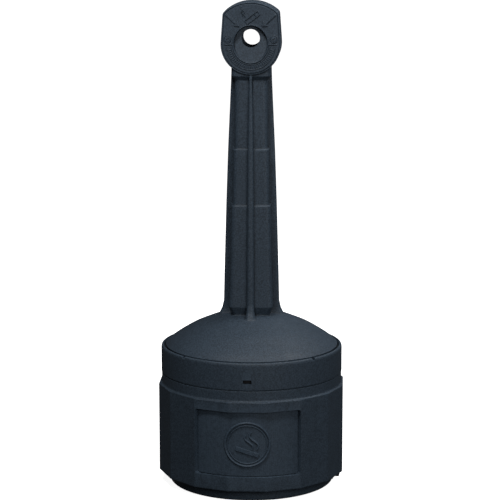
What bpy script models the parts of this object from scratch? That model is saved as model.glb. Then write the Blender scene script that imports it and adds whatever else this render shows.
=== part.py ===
"""Ashtray bin: a free-standing smokers' post in moulded polyethylene.

A two-sided head with a drop-in hole stands on a hollow finned neck and a domed hood. The hood
lifts off a sixteen-sided base tub, which holds a galvanised pail. The front faces -Y, the floor
is z = 0 and all sizes are metres.
"""

import math

import bmesh
import bpy
from mathutils import Matrix, Vector

# ---------------------------------------------------------------- driving dimensions
GAP = 0.0003                    # clearance between pieces that touch
WALL = 0.004                    # moulded wall
PROUD = 0.004                   # how far a cutter runs past the face that it cuts
ROUND_SIDES = 48                # sides of a large round piece
PAIL_SIDES = 40                 # sides of the pail
SMALL_SIDES = 12                # sides of a screw, a rivet or a small hole

# base tub
FACETS = 16
FACET_APOTHEM = 0.1872
SHOULDER_Z = 0.2068
PLINTH_RADIUS = 0.167
PLINTH_TOP_Z = 0.025
PLINTH_WALL = 0.006
PLINTH_EDGE = 0.003
FLOOR_Z = 0.006
BAND_RADIUS = 0.1832
BAND_TOP_Z = 0.2285
SPIGOT_RADIUS = 0.1780
SPIGOT_TOP_Z = 0.2635
TUB_WALL = 0.0048
PANEL_HALF_ANGLE = math.radians(33.5)
PANEL_RADIUS = 0.1815
PANEL_LOW_Z = 0.0540
PANEL_HIGH_Z = 0.1865

# hood
COLLAR_RADIUS = 0.1840
COLLAR_INNER_RADIUS = 0.1795
COLLAR_LOW_Z = BAND_TOP_Z + GAP
GUTTER_Z = 0.2790
NOTCH_WIDTH = 0.007
NOTCH_LENGTH = 0.012
NOTCH_HEIGHT = 0.008
NOTCH_INNER_RADIUS = 0.1756
DOME_PROFILE = (                # radius and height of the outside, from the neck to the gutter
    (0.0461, 0.3488), (0.0612, 0.3457), (0.0847, 0.3372), (0.0980, 0.3316), (0.1206, 0.3217),
    (0.1442, 0.3078), (0.1586, 0.2983), (0.1647, 0.2937), (0.1711, 0.2875), (0.1741, 0.2827),
)
BEAD_PROFILE = (                # the gutter's floor and the rounded bead outside it
    (0.1752, 0.2792), (0.1775, GUTTER_Z), (0.1783, 0.2818), (0.1797, 0.2836), (0.1818, 0.2838),
    (0.1834, 0.2820), (0.1840, 0.2788),
)
DOME_PEAK_Z = 0.3498
CAVITY_PROFILE = (              # the hood's inside, from the neck to the collar
    (0.0461, 0.3448), (0.0612, 0.3414), (0.0847, 0.3327), (0.1207, 0.3169), (0.1443, 0.3027),
    (0.1608, 0.2904), (0.1699, 0.2783), (0.1774, 0.2748), (COLLAR_INNER_RADIUS, 0.2728),
)
CAVITY_PEAK_Z = 0.3398

# neck: height and half width of the core, with its two steps, and of the chute inside
CORE_CORNER = 0.009
CORE_PROFILE = (
    (0.3312, 0.0364), (0.3473, 0.0368), (0.3664, 0.0444), (0.3986, 0.0430), (0.4438, 0.0417),
    (0.5719, 0.0397), (0.5749, 0.0365), (0.6851, 0.0360), (0.6881, 0.0325), (0.8505, 0.0324),
)
CHUTE_CORNER = 0.006
CHUTE_PROFILE = (
    (0.3111, 0.0327), (0.3594, 0.0327), (0.3755, 0.0387), (0.4438, 0.0377), (0.5659, 0.0356),
    (0.5749, 0.0323), (0.6781, 0.0320), (0.6881, 0.0285), (0.8653, 0.0284),
)
CAPITAL_PROFILE = ((0.8237, 0.0324), (0.8316, 0.0387), (0.8505, 0.0387))
FIN_PROFILE = (                 # height, reach from the axis and half thickness
    (0.3352, 0.0736, 0.0115), (0.3463, 0.0656, 0.0100), (0.3584, 0.0597, 0.0078),
    (0.3735, 0.0563, 0.0070), (0.4337, 0.0549, 0.0068), (0.5669, 0.0511, 0.0062),
    (0.6826, 0.0472, 0.0055), (0.8207, 0.0410, 0.0031), (0.8505, 0.0402, 0.0029),
)
FIN_ROOT = 0.020

# head
HEAD_Z = 0.8945
HEAD_RADIUS = 0.0594
HEAD_TAPER = math.radians(4.0)
HEAD_TOP_RADIUS = 0.0805
HEAD_TOP_Z = 0.978
HEAD_CORNER = 0.004
HEAD_HALF_DEPTH = 0.042
HEAD_WALL = 0.0045
HEAD_EDGE = 0.0022

# face plates and their dished throats
PLATE_INSET = 0.006
PLATE_FRONT_Y = 0.0435
PLATE_BACK_Y = 0.0399
LEDGE_INSET = 0.010
LEDGE_DEPTH = 0.0055
DISH_Z = 0.8935
DISH_RADIUS = 0.0350
THROAT_Z = 0.9070
THROAT_RADIUS = 0.0190
THROAT_Y = 0.0295
DISH_WALL = 0.003
PLATE_SCREW_X = 0.0455
PLATE_SCREW_Z = 0.9053
ARROW_X = 0.0356
ARROW_Z = 0.9432
ARROW_LENGTH = 0.0370
ARROW_HALF_WIDTH = 0.0028
RELIEF = 0.0008
ROUNDEL_RADIUS = 0.0072
ROUNDEL_DEPTH = 0.0008
BOSS_INNER_Y = 0.0205
BOSS_X = (0.0398, 0.0575)
BOSS_HALF_HEIGHT = 0.006

# screws: head radius, head height, shank radius, shank length, socket radius
PLATE_SCREW = (0.0060, 0.0016, 0.0019, 0.0150, 0.0022)
LATCH_SCREW = (0.0036, 0.0022, 0.0017, 0.0086, 0.0016)
TAB_SCREW = (0.0035, 0.0022, 0.0019, 0.0095, 0.0016)
SCREW_CLEARANCE = 0.0004

# latch
LATCH_Z = 0.2465
SLOT_WIDTH = 0.017
SLOT_HEIGHT = 0.0084
BOLT_WIDTH = 0.0155
BOLT_HEIGHT = 0.0070
BOLT_NOSE_Y = 0.0005 - SPIGOT_RADIUS
BOLT_TAIL_Y = 0.0165 - SPIGOT_RADIUS
CHANNEL_END_Y = BOLT_TAIL_Y + 0.0010
FLANGE_INNER_Y = 0.0100 - SPIGOT_RADIUS
FLANGE_HALF_WIDTH = 0.0260
FLANGE_HALF_HEIGHT = 0.0075
GUIDE_INNER_Y = CHANNEL_END_Y + 0.0025
GUIDE_HALF_WIDTH = 0.0125
GUIDE_HALF_HEIGHT = 0.0070
LATCH_SCREW_X = 0.0190

# anchor tab
TAB_ANGLE = math.radians(84.0)  # from the front towards +X
TAB_THICKNESS = 0.003
TAB_HALF_WIDTH = 0.019
TAB_Z = (0.0085, 0.0195)
LUG_HALF_WIDTH = 0.009
LUG_Z = (0.0140, 0.0193)
LUG_REACH = 0.1815
TAB_HOLE_RADIUS = 0.0034
TAB_HOLE_REACH = 0.1760
TAB_SCREW_Z = 0.0140
TAB_SCREW_Y = 0.0145

# pail
PAIL_BOTTOM_Z = FLOOR_Z + GAP
PAIL_TOP_Z = 0.2140
PAIL_TOP_RADIUS = 0.1500
PAIL_BOTTOM_RADIUS = 0.1350
PAIL_WALL = 0.0015
BEAD_REACH = 0.0025
EAR_HALF_WIDTH = 0.011
BAIL_Z = 0.2220
BAIL_WIRE_RADIUS = 0.0025
BAIL_HALF_SPAN = 0.1490
BAIL_DEPTH = 0.1080
BAIL_END_X = 0.1640
EAR_X = 0.1560
EAR_THICKNESS = 0.0020
EAR_HOLE_RADIUS = 0.0030
RIVET_Z = 0.1850
RIVET_Y = 0.0060
RIVET_HOLE_RADIUS = 0.0025
PAIL_RIB_Z = 0.060
GRIP_HALF_LENGTH = 0.0525
GRIP_RADIUS = 0.0110
GRIP_BORE = 0.0029

# finishes: linear base colour, roughness, metallic
FINISHES = {
    "charcoal_polyethylene": ((0.028, 0.035, 0.044), 0.52, 0.0),
    "black_coated_steel": ((0.010, 0.010, 0.011), 0.45, 0.0),
    "black_plastic": ((0.013, 0.013, 0.014), 0.40, 0.0),
    "bright_steel": ((0.52, 0.53, 0.55), 0.30, 1.0),
    "dark_steel": ((0.060, 0.064, 0.070), 0.38, 1.0),
    "galvanised_steel": ((0.46, 0.48, 0.50), 0.42, 1.0),
}


# ---------------------------------------------------------------- scene and object helpers
def clear_scene():
    for old in list(bpy.data.objects):
        bpy.data.objects.remove(old, do_unlink=True)


def new_collection(name):
    collection = bpy.data.collections.new(name)
    bpy.context.scene.collection.children.link(collection)
    return collection


def add_object(name, data):
    """A new object among the cutters, until keep() makes it a sub-part."""
    item = bpy.data.objects.new(name, data)
    CUTTERS.objects.link(item)
    item.hide_render = True
    item.display_type = "WIRE"
    return item


def keep(item, finish, sharp=math.radians(32.0)):
    """Make an object a sub-part: its own material, shading and collection."""
    CUTTERS.objects.unlink(item)
    PARTS.objects.link(item)
    item.hide_render = False
    item.display_type = "TEXTURED"
    colour, roughness, metallic = FINISHES[finish]
    material = bpy.data.materials.new(f"{item.name}_{finish}")
    material.use_nodes = True
    shader = material.node_tree.nodes["Principled BSDF"]
    shader.inputs["Base Color"].default_value = (*colour, 1.0)
    shader.inputs["Roughness"].default_value = roughness
    shader.inputs["Metallic"].default_value = metallic
    item.data.materials.clear()
    item.data.materials.append(material)
    if item.type == "MESH":
        item.data.shade_smooth()
        item.data.set_sharp_from_angle(angle=sharp)
    return item


def from_bmesh(name, bm):
    mesh = bpy.data.meshes.new(name)
    bm.to_mesh(mesh)
    bm.free()
    return add_object(name, mesh)


def evaluated_mesh(item, name):
    """The object's mesh with its modifiers applied and loose seams welded."""
    bpy.context.view_layer.update()
    seen = item.evaluated_get(bpy.context.evaluated_depsgraph_get())
    mesh = bpy.data.meshes.new_from_object(seen)
    mesh.name = name
    bm = bmesh.new()
    bm.from_mesh(mesh)
    bmesh.ops.remove_doubles(bm, verts=bm.verts, dist=1e-6)
    bm.to_mesh(mesh)
    bm.free()
    return mesh


def combine(target, tool, operation):
    modifier = target.modifiers.new(f"{operation.lower()} {tool.name}", "BOOLEAN")
    modifier.operation = operation
    modifier.solver = "EXACT"
    modifier.object = tool
    return target


def join(target, *tools):
    for tool in tools:
        combine(target, tool, "UNION")
    return target


def cut(target, *tools):
    for tool in tools:
        combine(target, tool, "DIFFERENCE")
    return target


def bevel(item, width, segments=2, angle=math.radians(50.0)):
    modifier = item.modifiers.new("edges", "BEVEL")
    modifier.width = width
    modifier.segments = segments
    modifier.limit_method = "ANGLE"
    modifier.angle_limit = angle
    modifier.use_clamp_overlap = True
    return item


def joint_frame(name, location, pieces):
    """An empty on a joint's axis that carries the pieces that move with it."""
    frame = bpy.data.objects.new(name, None)
    frame.location = location
    PARTS.objects.link(frame)
    bpy.context.view_layer.update()
    for piece in pieces:
        piece.parent = frame
        piece.matrix_parent_inverse = frame.matrix_world.inverted()
    return frame


# ---------------------------------------------------------------- shape helpers
def box(name, low, high):
    low, high = Vector(low), Vector(high)
    bm = bmesh.new()
    bmesh.ops.create_cube(bm, size=1.0, matrix=Matrix.Diagonal((*(high - low), 1.0)))
    item = from_bmesh(name, bm)
    item.location = (low + high) / 2.0
    return item


TURN_TO = {                     # rotation that takes local +Z to the named direction
    "+Z": (0.0, 0.0, 0.0),
    "+X": (0.0, math.pi / 2.0, 0.0),
    "-X": (0.0, -math.pi / 2.0, 0.0),
    "-Y": (math.pi / 2.0, 0.0, 0.0),
    "+Y": (-math.pi / 2.0, 0.0, 0.0),
}


def rod(name, radius, length, centre, axis="+Z", sides=SMALL_SIDES):
    bm = bmesh.new()
    bmesh.ops.create_cone(bm, cap_ends=True, segments=sides, radius1=radius, radius2=radius,
                          depth=length)
    item = from_bmesh(name, bm)
    item.location = centre
    item.rotation_euler = TURN_TO[axis]
    return item


def turned(name, profile, sides=ROUND_SIDES, ring=False):
    """Turn (radius, height) points about Z: outer side downwards, a ring profile closed."""
    mesh = bpy.data.meshes.new(name)
    points = [(radius, 0.0, height) for radius, height in profile]
    edges = [(i, i + 1) for i in range(len(points) - 1)]
    if ring:
        edges.append((len(points) - 1, 0))
    mesh.from_pydata(points, edges, [])
    item = add_object(name, mesh)
    screw = item.modifiers.new("turn", "SCREW")
    screw.axis = "Z"
    screw.angle = 2.0 * math.pi
    screw.steps = sides
    screw.render_steps = sides
    screw.use_merge_vertices = True
    screw.merge_threshold = 1e-5
    return item


def outline_solid(name, points, low, high, upright=True):
    """A flat outline made solid: upright runs along Y in (x, z), otherwise along Z in (x, y)."""
    curve = bpy.data.curves.new(name, "CURVE")
    curve.dimensions = "2D"
    curve.fill_mode = "BOTH"
    curve.extrude = (high - low) / 2.0
    spline = curve.splines.new("POLY")
    spline.points.add(len(points) - 1)
    for point, place in zip(spline.points, points):
        point.co = (place[0], place[1], 0.0, 1.0)
    spline.use_cyclic_u = True
    guide = add_object(name + "_outline", curve)
    if upright:
        guide.location = (0.0, (low + high) / 2.0, 0.0)
        guide.rotation_euler = TURN_TO["-Y"]
    else:
        guide.location = (0.0, 0.0, (low + high) / 2.0)
    mesh = evaluated_mesh(guide, name)
    item = add_object(name, mesh)
    item.matrix_world = guide.matrix_world
    bpy.data.objects.remove(guide, do_unlink=True)
    return item


def loft(name, rings):
    """A solid through rings of equal length, which run anticlockwise seen from above."""
    bm = bmesh.new()
    levels = [[bm.verts.new(point) for point in ring] for ring in rings]
    for lower, upper in zip(levels, levels[1:]):
        for i in range(len(lower)):
            j = (i + 1) % len(lower)
            bm.faces.new((lower[i], lower[j], upper[j], upper[i]))
    bm.faces.new(list(reversed(levels[0])))
    bm.faces.new(levels[-1])
    return from_bmesh(name, bm)


def rounded_square(half, corner, z, steps=4):
    points = []
    for quarter in range(4):
        turn = quarter * math.pi / 2.0
        centre = Vector((half - corner, half - corner)) @ Matrix.Rotation(-turn, 2)
        for i in range(steps + 1):
            angle = turn + (math.pi / 2.0) * i / steps
            points.append((centre.x + corner * math.cos(angle),
                           centre.y + corner * math.sin(angle), z))
    return points


def square_loft(name, profile, corner):
    return loft(name, [rounded_square(half, corner, z) for z, half in profile])


# ---------------------------------------------------------------- hood
def head_outline(inset, arc_steps=22, top_steps=8):
    """The head seen from the front: a circle below, tapering sides and a shallower top arc."""
    radius = HEAD_RADIUS - inset
    top_radius = HEAD_TOP_RADIUS - inset
    top_centre = HEAD_TOP_Z - HEAD_TOP_RADIUS
    tangent = Vector((radius * math.cos(HEAD_TAPER), HEAD_Z + radius * math.sin(HEAD_TAPER)))
    side = Vector((-math.sin(HEAD_TAPER), math.cos(HEAD_TAPER)))
    offset = tangent - Vector((0.0, top_centre))
    along = -offset.dot(side) + math.sqrt(offset.dot(side) ** 2
                                          - offset.length_squared + top_radius ** 2)
    corner = tangent + side * along
    corner_angle = math.atan2(corner.y - top_centre, corner.x)
    before = corner - side * HEAD_CORNER
    start_angle = corner_angle + HEAD_CORNER / top_radius
    after = Vector((top_radius * math.cos(start_angle),
                    top_centre + top_radius * math.sin(start_angle)))
    right = [before, (before + corner * 2.0 + after) / 4.0]
    points = [(p.x, p.y) for p in right]
    for i in range(top_steps + 1):
        angle = start_angle + (math.pi - 2.0 * start_angle) * i / top_steps
        points.append((top_radius * math.cos(angle), top_centre + top_radius * math.sin(angle)))
    points += [(-p.x, p.y) for p in reversed(right)]
    sweep = math.pi + 2.0 * HEAD_TAPER
    for i in range(arc_steps + 1):
        angle = math.pi - HEAD_TAPER + sweep * i / arc_steps
        points.append((radius * math.cos(angle), HEAD_Z + radius * math.sin(angle)))
    return points


def fin(index):
    """One of the neck's four fins: it grows thicker and deeper towards its foot."""
    rings = []
    for z, reach, half in FIN_PROFILE:
        edge = half * 0.45
        rings.append([(FIN_ROOT, -half, z), (reach - edge, -half, z), (reach, -half + edge, z),
                      (reach, half - edge, z), (reach - edge, half, z), (FIN_ROOT, half, z)])
    item = loft(f"fin_{index}", rings)
    item.rotation_euler = (0.0, 0.0, index * math.pi / 2.0)
    return item


def screw_boss(side, facing):
    """A pad inside the head's wall that takes one face plate screw."""
    low_y, high_y = sorted((facing * (PLATE_BACK_Y - GAP), facing * BOSS_INNER_Y))
    low_x, high_x = sorted(side * x for x in BOSS_X)
    return box(f"boss_{side}_{facing}", (low_x, low_y, PLATE_SCREW_Z - BOSS_HALF_HEIGHT),
               (high_x, high_y, PLATE_SCREW_Z + BOSS_HALF_HEIGHT))


def make_hood_shell():
    outside = [(0.0, DOME_PEAK_Z), *DOME_PROFILE, *BEAD_PROFILE,
               (COLLAR_RADIUS, COLLAR_LOW_Z + 0.001), (COLLAR_RADIUS - 0.001, COLLAR_LOW_Z),
               (0.0, COLLAR_LOW_Z)]
    shell = turned("hood_shell", outside)
    head = outline_solid("head_block", head_outline(0.0), -HEAD_HALF_DEPTH, HEAD_HALF_DEPTH)
    bevel(head, HEAD_EDGE)
    join(shell, square_loft("neck_core", CORE_PROFILE, CORE_CORNER),
         *[fin(index) for index in range(4)],
         square_loft("neck_capital", CAPITAL_PROFILE, CORE_CORNER), head)

    cavity = turned("hood_cavity", [(0.0, CAVITY_PEAK_Z), *CAVITY_PROFILE,
                                    (COLLAR_INNER_RADIUS, COLLAR_LOW_Z - PROUD),
                                    (0.0, COLLAR_LOW_Z - PROUD)])
    chute = square_loft("neck_chute", CHUTE_PROFILE, CHUTE_CORNER)
    seat_y = PLATE_BACK_Y - GAP
    room_y = seat_y - LEDGE_DEPTH
    room = outline_solid("head_room", head_outline(HEAD_WALL), -room_y, room_y)
    passage = outline_solid("head_passage", head_outline(LEDGE_INSET), -seat_y - PROUD,
                            seat_y + PROUD)
    pockets = [outline_solid(f"plate_pocket_{i}", head_outline(PLATE_INSET - GAP), low, high)
               for i, (low, high) in enumerate(((-HEAD_HALF_DEPTH - PROUD, -seat_y),
                                                (seat_y, HEAD_HALF_DEPTH + PROUD)))]
    cut(shell, cavity, chute, room, passage, *pockets)

    sides = [(side, facing) for side in (-1, 1) for facing in (-1, 1)]
    join(shell, *[screw_boss(side, facing) for side, facing in sides])
    shank_radius, shank_length = PLATE_SCREW[2], PLATE_SCREW[3]
    cut(shell, *[rod(f"boss_hole_{side}_{facing}", shank_radius + SCREW_CLEARANCE,
                     shank_length + 2.0 * PROUD,
                     (side * PLATE_SCREW_X, facing * PLATE_BACK_Y
                      - facing * shank_length / 2.0, PLATE_SCREW_Z), "-Y")
                 for side, facing in sides])

    slot = box("collar_slot", (-SLOT_WIDTH / 2.0, -COLLAR_RADIUS - PROUD,
                               LATCH_Z - SLOT_HEIGHT / 2.0),
               (SLOT_WIDTH / 2.0, -COLLAR_INNER_RADIUS + PROUD, LATCH_Z + SLOT_HEIGHT / 2.0))
    notches = []
    for i in range(4):
        half = Vector((NOTCH_WIDTH, NOTCH_LENGTH, NOTCH_HEIGHT)) / 2.0
        notch = box(f"drain_notch_{i}", -half, half)
        angle = math.pi / 4.0 + i * math.pi / 2.0
        reach = NOTCH_INNER_RADIUS + half.y
        notch.location = (reach * math.sin(angle), reach * math.cos(angle),
                          GUTTER_Z + GAP + half.z)
        notch.rotation_euler = (0.0, 0.0, -angle)
        notches.append(notch)
    cut(shell, slot, *notches)
    return keep(shell, "charcoal_polyethylene")


def circle_ring(radius, z, y, sides=28):
    """A ring for a loft along +Y, so it runs clockwise in (x, z)."""
    return [(radius * math.cos(2.0 * math.pi * i / sides),
             y, z - radius * math.sin(2.0 * math.pi * i / sides)) for i in range(sides)]


def arrow_outline(centre, direction, length, half_width):
    """An arrow about a centre, pointing along a direction in (x, z)."""
    ahead = Vector(direction).normalized()
    across = Vector((-ahead.y, ahead.x))
    head, barb, shaft = length * 0.34, half_width * 2.4, half_width
    corners = ((length / 2.0, 0.0), (length / 2.0 - head, barb),
               (length / 2.0 - head, shaft), (-length / 2.0, shaft),
               (-length / 2.0, -shaft), (length / 2.0 - head, -shaft),
               (length / 2.0 - head, -barb))
    return [tuple(Vector(centre) + ahead * a + across * b) for a, b in corners]


def make_plate_mesh():
    """The dished face plate, facing -Y, with its relief of two arrows and a cigarette."""
    plate = outline_solid("plate_blank", head_outline(PLATE_INSET), -PLATE_FRONT_Y,
                          -PLATE_BACK_Y)
    dish_back = loft("dish_back", [
        circle_ring(DISH_RADIUS + DISH_WALL, DISH_Z, -PLATE_BACK_Y - 0.001),
        circle_ring(THROAT_RADIUS + DISH_WALL, THROAT_Z, -THROAT_Y)])
    slope = (PLATE_FRONT_Y - THROAT_Y)
    over = 1.0 + PROUD / slope
    start_z = THROAT_Z + (DISH_Z - THROAT_Z) * over
    start_radius = THROAT_RADIUS + (DISH_RADIUS - THROAT_RADIUS) * over
    dish = loft("dish", [circle_ring(start_radius, start_z, -PLATE_FRONT_Y - PROUD),
                         circle_ring(THROAT_RADIUS, THROAT_Z, -THROAT_Y),
                         circle_ring(THROAT_RADIUS, THROAT_Z, -THROAT_Y + PROUD)])
    join(plate, dish_back)
    relief = [outline_solid(f"arrow_{side}", arrow_outline(
        (side * ARROW_X, ARROW_Z), (-side * 0.68, -0.73), ARROW_LENGTH, ARROW_HALF_WIDTH),
        -PLATE_FRONT_Y - RELIEF, -PLATE_FRONT_Y + RELIEF) for side in (-1, 1)]
    join(plate, *relief)
    cut(plate, dish)
    for side in (-1, 1):
        place = (side * PLATE_SCREW_X, -PLATE_FRONT_Y, PLATE_SCREW_Z)
        roundel = rod(f"roundel_{side}", ROUNDEL_RADIUS, ROUNDEL_DEPTH * 2.0, place, "-Y", 24)
        hole = rod(f"plate_hole_{side}", PLATE_SCREW[2] + SCREW_CLEARANCE, 0.03, place, "-Y")
        cut(plate, roundel, hole)
    mesh = evaluated_mesh(plate, "face_plate")
    mesh.transform(plate.matrix_world)
    return mesh


def screw_mesh(name, sizes):
    """A button head screw along Z, its head's underside at z = 0 and its socket on top."""
    head_radius, head_height, shank_radius, shank_length, socket = sizes
    blank = turned(name + "_blank", [
        (0.0, head_height), (head_radius * 0.72, head_height), (head_radius, head_height * 0.45),
        (head_radius, 0.0), (shank_radius, 0.0), (shank_radius, -shank_length),
        (0.0, -shank_length)], sides=SMALL_SIDES)
    socket_depth = head_height * 0.55
    cut(blank, rod(name + "_socket", socket, socket_depth * 2.0, (0.0, 0.0, head_height),
                   sides=6))
    return evaluated_mesh(blank, name)


def place_copy(name, mesh, location, rotation, finish):
    item = add_object(name, mesh.copy())
    item.location = location
    item.rotation_euler = rotation
    return keep(item, finish)


def make_face_plates():
    plate = make_plate_mesh()
    screw = screw_mesh("plate_screw", PLATE_SCREW)
    pieces = []
    head_y = PLATE_FRONT_Y - ROUNDEL_DEPTH + GAP
    for face, facing, turn in (("front", -1, 0.0), ("rear", 1, math.pi)):
        pieces.append(place_copy(f"{face}_face_plate", plate, (0.0, 0.0, 0.0),
                                 (0.0, 0.0, turn), "charcoal_polyethylene"))
        for side, label in ((-1, "left"), (1, "right")):
            pieces.append(place_copy(
                f"{face}_plate_screw_{label}", screw,
                (side * PLATE_SCREW_X, facing * head_y, PLATE_SCREW_Z),
                TURN_TO["-Y"] if facing < 0 else TURN_TO["+Y"], "dark_steel"))
    return pieces


# ---------------------------------------------------------------- base tub
def sector(inner, outer, half_angle, steps=12):
    """Plan outline of a ring's sector that is centred on the front."""
    angles = [-half_angle + 2.0 * half_angle * i / steps for i in range(steps + 1)]
    front = [(outer * math.sin(a), -outer * math.cos(a)) for a in angles]
    back = [(inner * math.sin(a), -inner * math.cos(a)) for a in reversed(angles)]
    return front + back


def faceted(name, apothem, low, high):
    radius = apothem / math.cos(math.pi / FACETS)
    item = rod(name, radius, high - low, (0.0, 0.0, (low + high) / 2.0), sides=FACETS)
    item.rotation_euler = (0.0, 0.0, math.pi / FACETS)
    return item


def drum(name, radius, low, high):
    return rod(name, radius, high - low, (0.0, 0.0, (low + high) / 2.0), sides=ROUND_SIDES)


def make_base_tub():
    tub = bevel(faceted("base_tub", FACET_APOTHEM, PLINTH_TOP_Z, SHOULDER_Z), 0.003, 2,
                math.radians(60.0))
    root_z = PLINTH_TOP_Z + 0.02
    neck_z = SHOULDER_Z - 0.02
    join(tub, turned("plinth", [(0.0, root_z), (PLINTH_RADIUS, root_z),
                                (PLINTH_RADIUS, PLINTH_EDGE),
                                (PLINTH_RADIUS - PLINTH_EDGE, 0.0), (0.0, 0.0)]),
         drum("shoulder_band", BAND_RADIUS, neck_z, BAND_TOP_Z),
         drum("spigot", SPIGOT_RADIUS, neck_z, SPIGOT_TOP_Z))
    cut(tub, faceted("tub_room", FACET_APOTHEM - TUB_WALL, PLINTH_TOP_Z + WALL,
                     SHOULDER_Z - WALL),
        drum("tub_mouth", SPIGOT_RADIUS - WALL, neck_z, SPIGOT_TOP_Z + PROUD),
        drum("plinth_room", PLINTH_RADIUS - PLINTH_WALL, FLOOR_Z, root_z))
    margin = math.radians(1.6)
    backing = outline_solid("panel_backing", sector(PANEL_RADIUS - WALL, PANEL_RADIUS + 0.003,
                                                    PANEL_HALF_ANGLE + margin),
                            PANEL_LOW_Z - WALL, PANEL_HIGH_Z + WALL, upright=False)
    recess = outline_solid("panel_recess", sector(PANEL_RADIUS, FACET_APOTHEM + 0.02,
                                                  PANEL_HALF_ANGLE),
                           PANEL_LOW_Z, PANEL_HIGH_Z, upright=False)
    join(tub, backing)
    cut(tub, recess)

    cut(tub, box("bolt_way", (-BOLT_WIDTH / 2.0 - GAP, -SPIGOT_RADIUS - PROUD,
                              LATCH_Z - BOLT_HEIGHT / 2.0 - GAP),
                 (BOLT_WIDTH / 2.0 + GAP, -SPIGOT_RADIUS + WALL + PROUD,
                  LATCH_Z + BOLT_HEIGHT / 2.0 + GAP)))
    for side in (-1, 1):
        cut(tub, rod(f"latch_screw_hole_{side}", LATCH_SCREW[2] + SCREW_CLEARANCE, 0.02,
                     (side * LATCH_SCREW_X, WALL - SPIGOT_RADIUS, LATCH_Z), "-Y"),
            in_tab_frame(rod(f"tab_screw_hole_{side}", TAB_SCREW[2] + SCREW_CLEARANCE, 0.02,
                             (PLINTH_RADIUS, side * TAB_SCREW_Y, TAB_SCREW_Z), "+X")))
    return keep(tub, "charcoal_polyethylene")


# ---------------------------------------------------------------- latch and anchor tab
def make_latch():
    """A flanged housing with a blind channel, its two screws, and the bolt that slides in it."""
    housing = box("latch_housing",
                  (-FLANGE_HALF_WIDTH, -SPIGOT_RADIUS, LATCH_Z - FLANGE_HALF_HEIGHT),
                  (FLANGE_HALF_WIDTH, FLANGE_INNER_Y, LATCH_Z + FLANGE_HALF_HEIGHT))
    join(housing, box("latch_guide",
                      (-GUIDE_HALF_WIDTH, BOLT_NOSE_Y, LATCH_Z - GUIDE_HALF_HEIGHT),
                      (GUIDE_HALF_WIDTH, GUIDE_INNER_Y, LATCH_Z + GUIDE_HALF_HEIGHT)))
    combine(housing, drum("spigot_bore", SPIGOT_RADIUS - WALL - 2.0 * GAP, LATCH_Z - 0.02,
                          LATCH_Z + 0.02), "INTERSECT")
    cut(housing, box("bolt_channel",
                     (-BOLT_WIDTH / 2.0 - GAP, -SPIGOT_RADIUS - PROUD,
                      LATCH_Z - BOLT_HEIGHT / 2.0 - GAP),
                     (BOLT_WIDTH / 2.0 + GAP, CHANNEL_END_Y,
                      LATCH_Z + BOLT_HEIGHT / 2.0 + GAP)))
    screw = screw_mesh("latch_screw", LATCH_SCREW)
    pieces = [housing]
    for side, label in ((-1, "left"), (1, "right")):
        cut(housing, rod(f"housing_hole_{label}", LATCH_SCREW[2] + SCREW_CLEARANCE, 0.03,
                         (side * LATCH_SCREW_X, FLANGE_INNER_Y, LATCH_Z), "-Y"))
        pieces.append(place_copy(f"latch_screw_{label}", screw,
                                 (side * LATCH_SCREW_X, FLANGE_INNER_Y + GAP, LATCH_Z),
                                 TURN_TO["+Y"], "bright_steel"))
    keep(housing, "black_plastic")

    bolt = box("latch_bolt", (-BOLT_WIDTH / 2.0, BOLT_NOSE_Y, LATCH_Z - BOLT_HEIGHT / 2.0),
               (BOLT_WIDTH / 2.0, BOLT_TAIL_Y, LATCH_Z + BOLT_HEIGHT / 2.0))
    keep(bevel(bolt, 0.0008), "black_plastic")
    return pieces, bolt


def in_tab_frame(item):
    """Turn a piece that was modelled towards +X to the anchor tab's place round the base."""
    turn = Matrix.Rotation(TAB_ANGLE - math.pi / 2.0, 4, "Z")
    bpy.context.view_layer.update()
    item.matrix_world = turn @ item.matrix_world
    return item


def make_anchor_tab():
    """A strap on the plinth, screwed at both ends, with a drilled lug under the overhang."""
    back = PLINTH_RADIUS + GAP
    front = back + TAB_THICKNESS
    tab = box("anchor_tab", (back, -TAB_HALF_WIDTH, TAB_Z[0]), (front, TAB_HALF_WIDTH, TAB_Z[1]))
    join(tab, in_tab_frame(box("tab_lug", (back, -LUG_HALF_WIDTH, LUG_Z[0]),
                               (LUG_REACH, LUG_HALF_WIDTH, LUG_Z[1]))))
    in_tab_frame(tab)
    cut(tab, in_tab_frame(rod("tab_hole", TAB_HOLE_RADIUS, 0.03,
                              (TAB_HOLE_REACH, 0.0, LUG_Z[0]))))
    screw = screw_mesh("anchor_screw", TAB_SCREW)
    pieces = [tab]
    for side, label in ((-1, "front"), (1, "rear")):
        cut(tab, in_tab_frame(rod(f"tab_drill_{label}", TAB_SCREW[2] + SCREW_CLEARANCE, 0.012,
                                  (back, side * TAB_SCREW_Y, TAB_SCREW_Z), "+X")))
        item = place_copy(f"anchor_screw_{label}", screw,
                          (front + GAP, side * TAB_SCREW_Y, TAB_SCREW_Z),
                          TURN_TO["+X"], "dark_steel")
        pieces.append(in_tab_frame(item))
    keep(tab, "black_coated_steel")
    return pieces


# ---------------------------------------------------------------- pail
def pail_radius(z):
    """Outside radius of the pail's tapering wall."""
    share = (z - PAIL_BOTTOM_Z) / (PAIL_TOP_Z - PAIL_BOTTOM_Z)
    return PAIL_BOTTOM_RADIUS + (PAIL_TOP_RADIUS - PAIL_BOTTOM_RADIUS) * share


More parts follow.
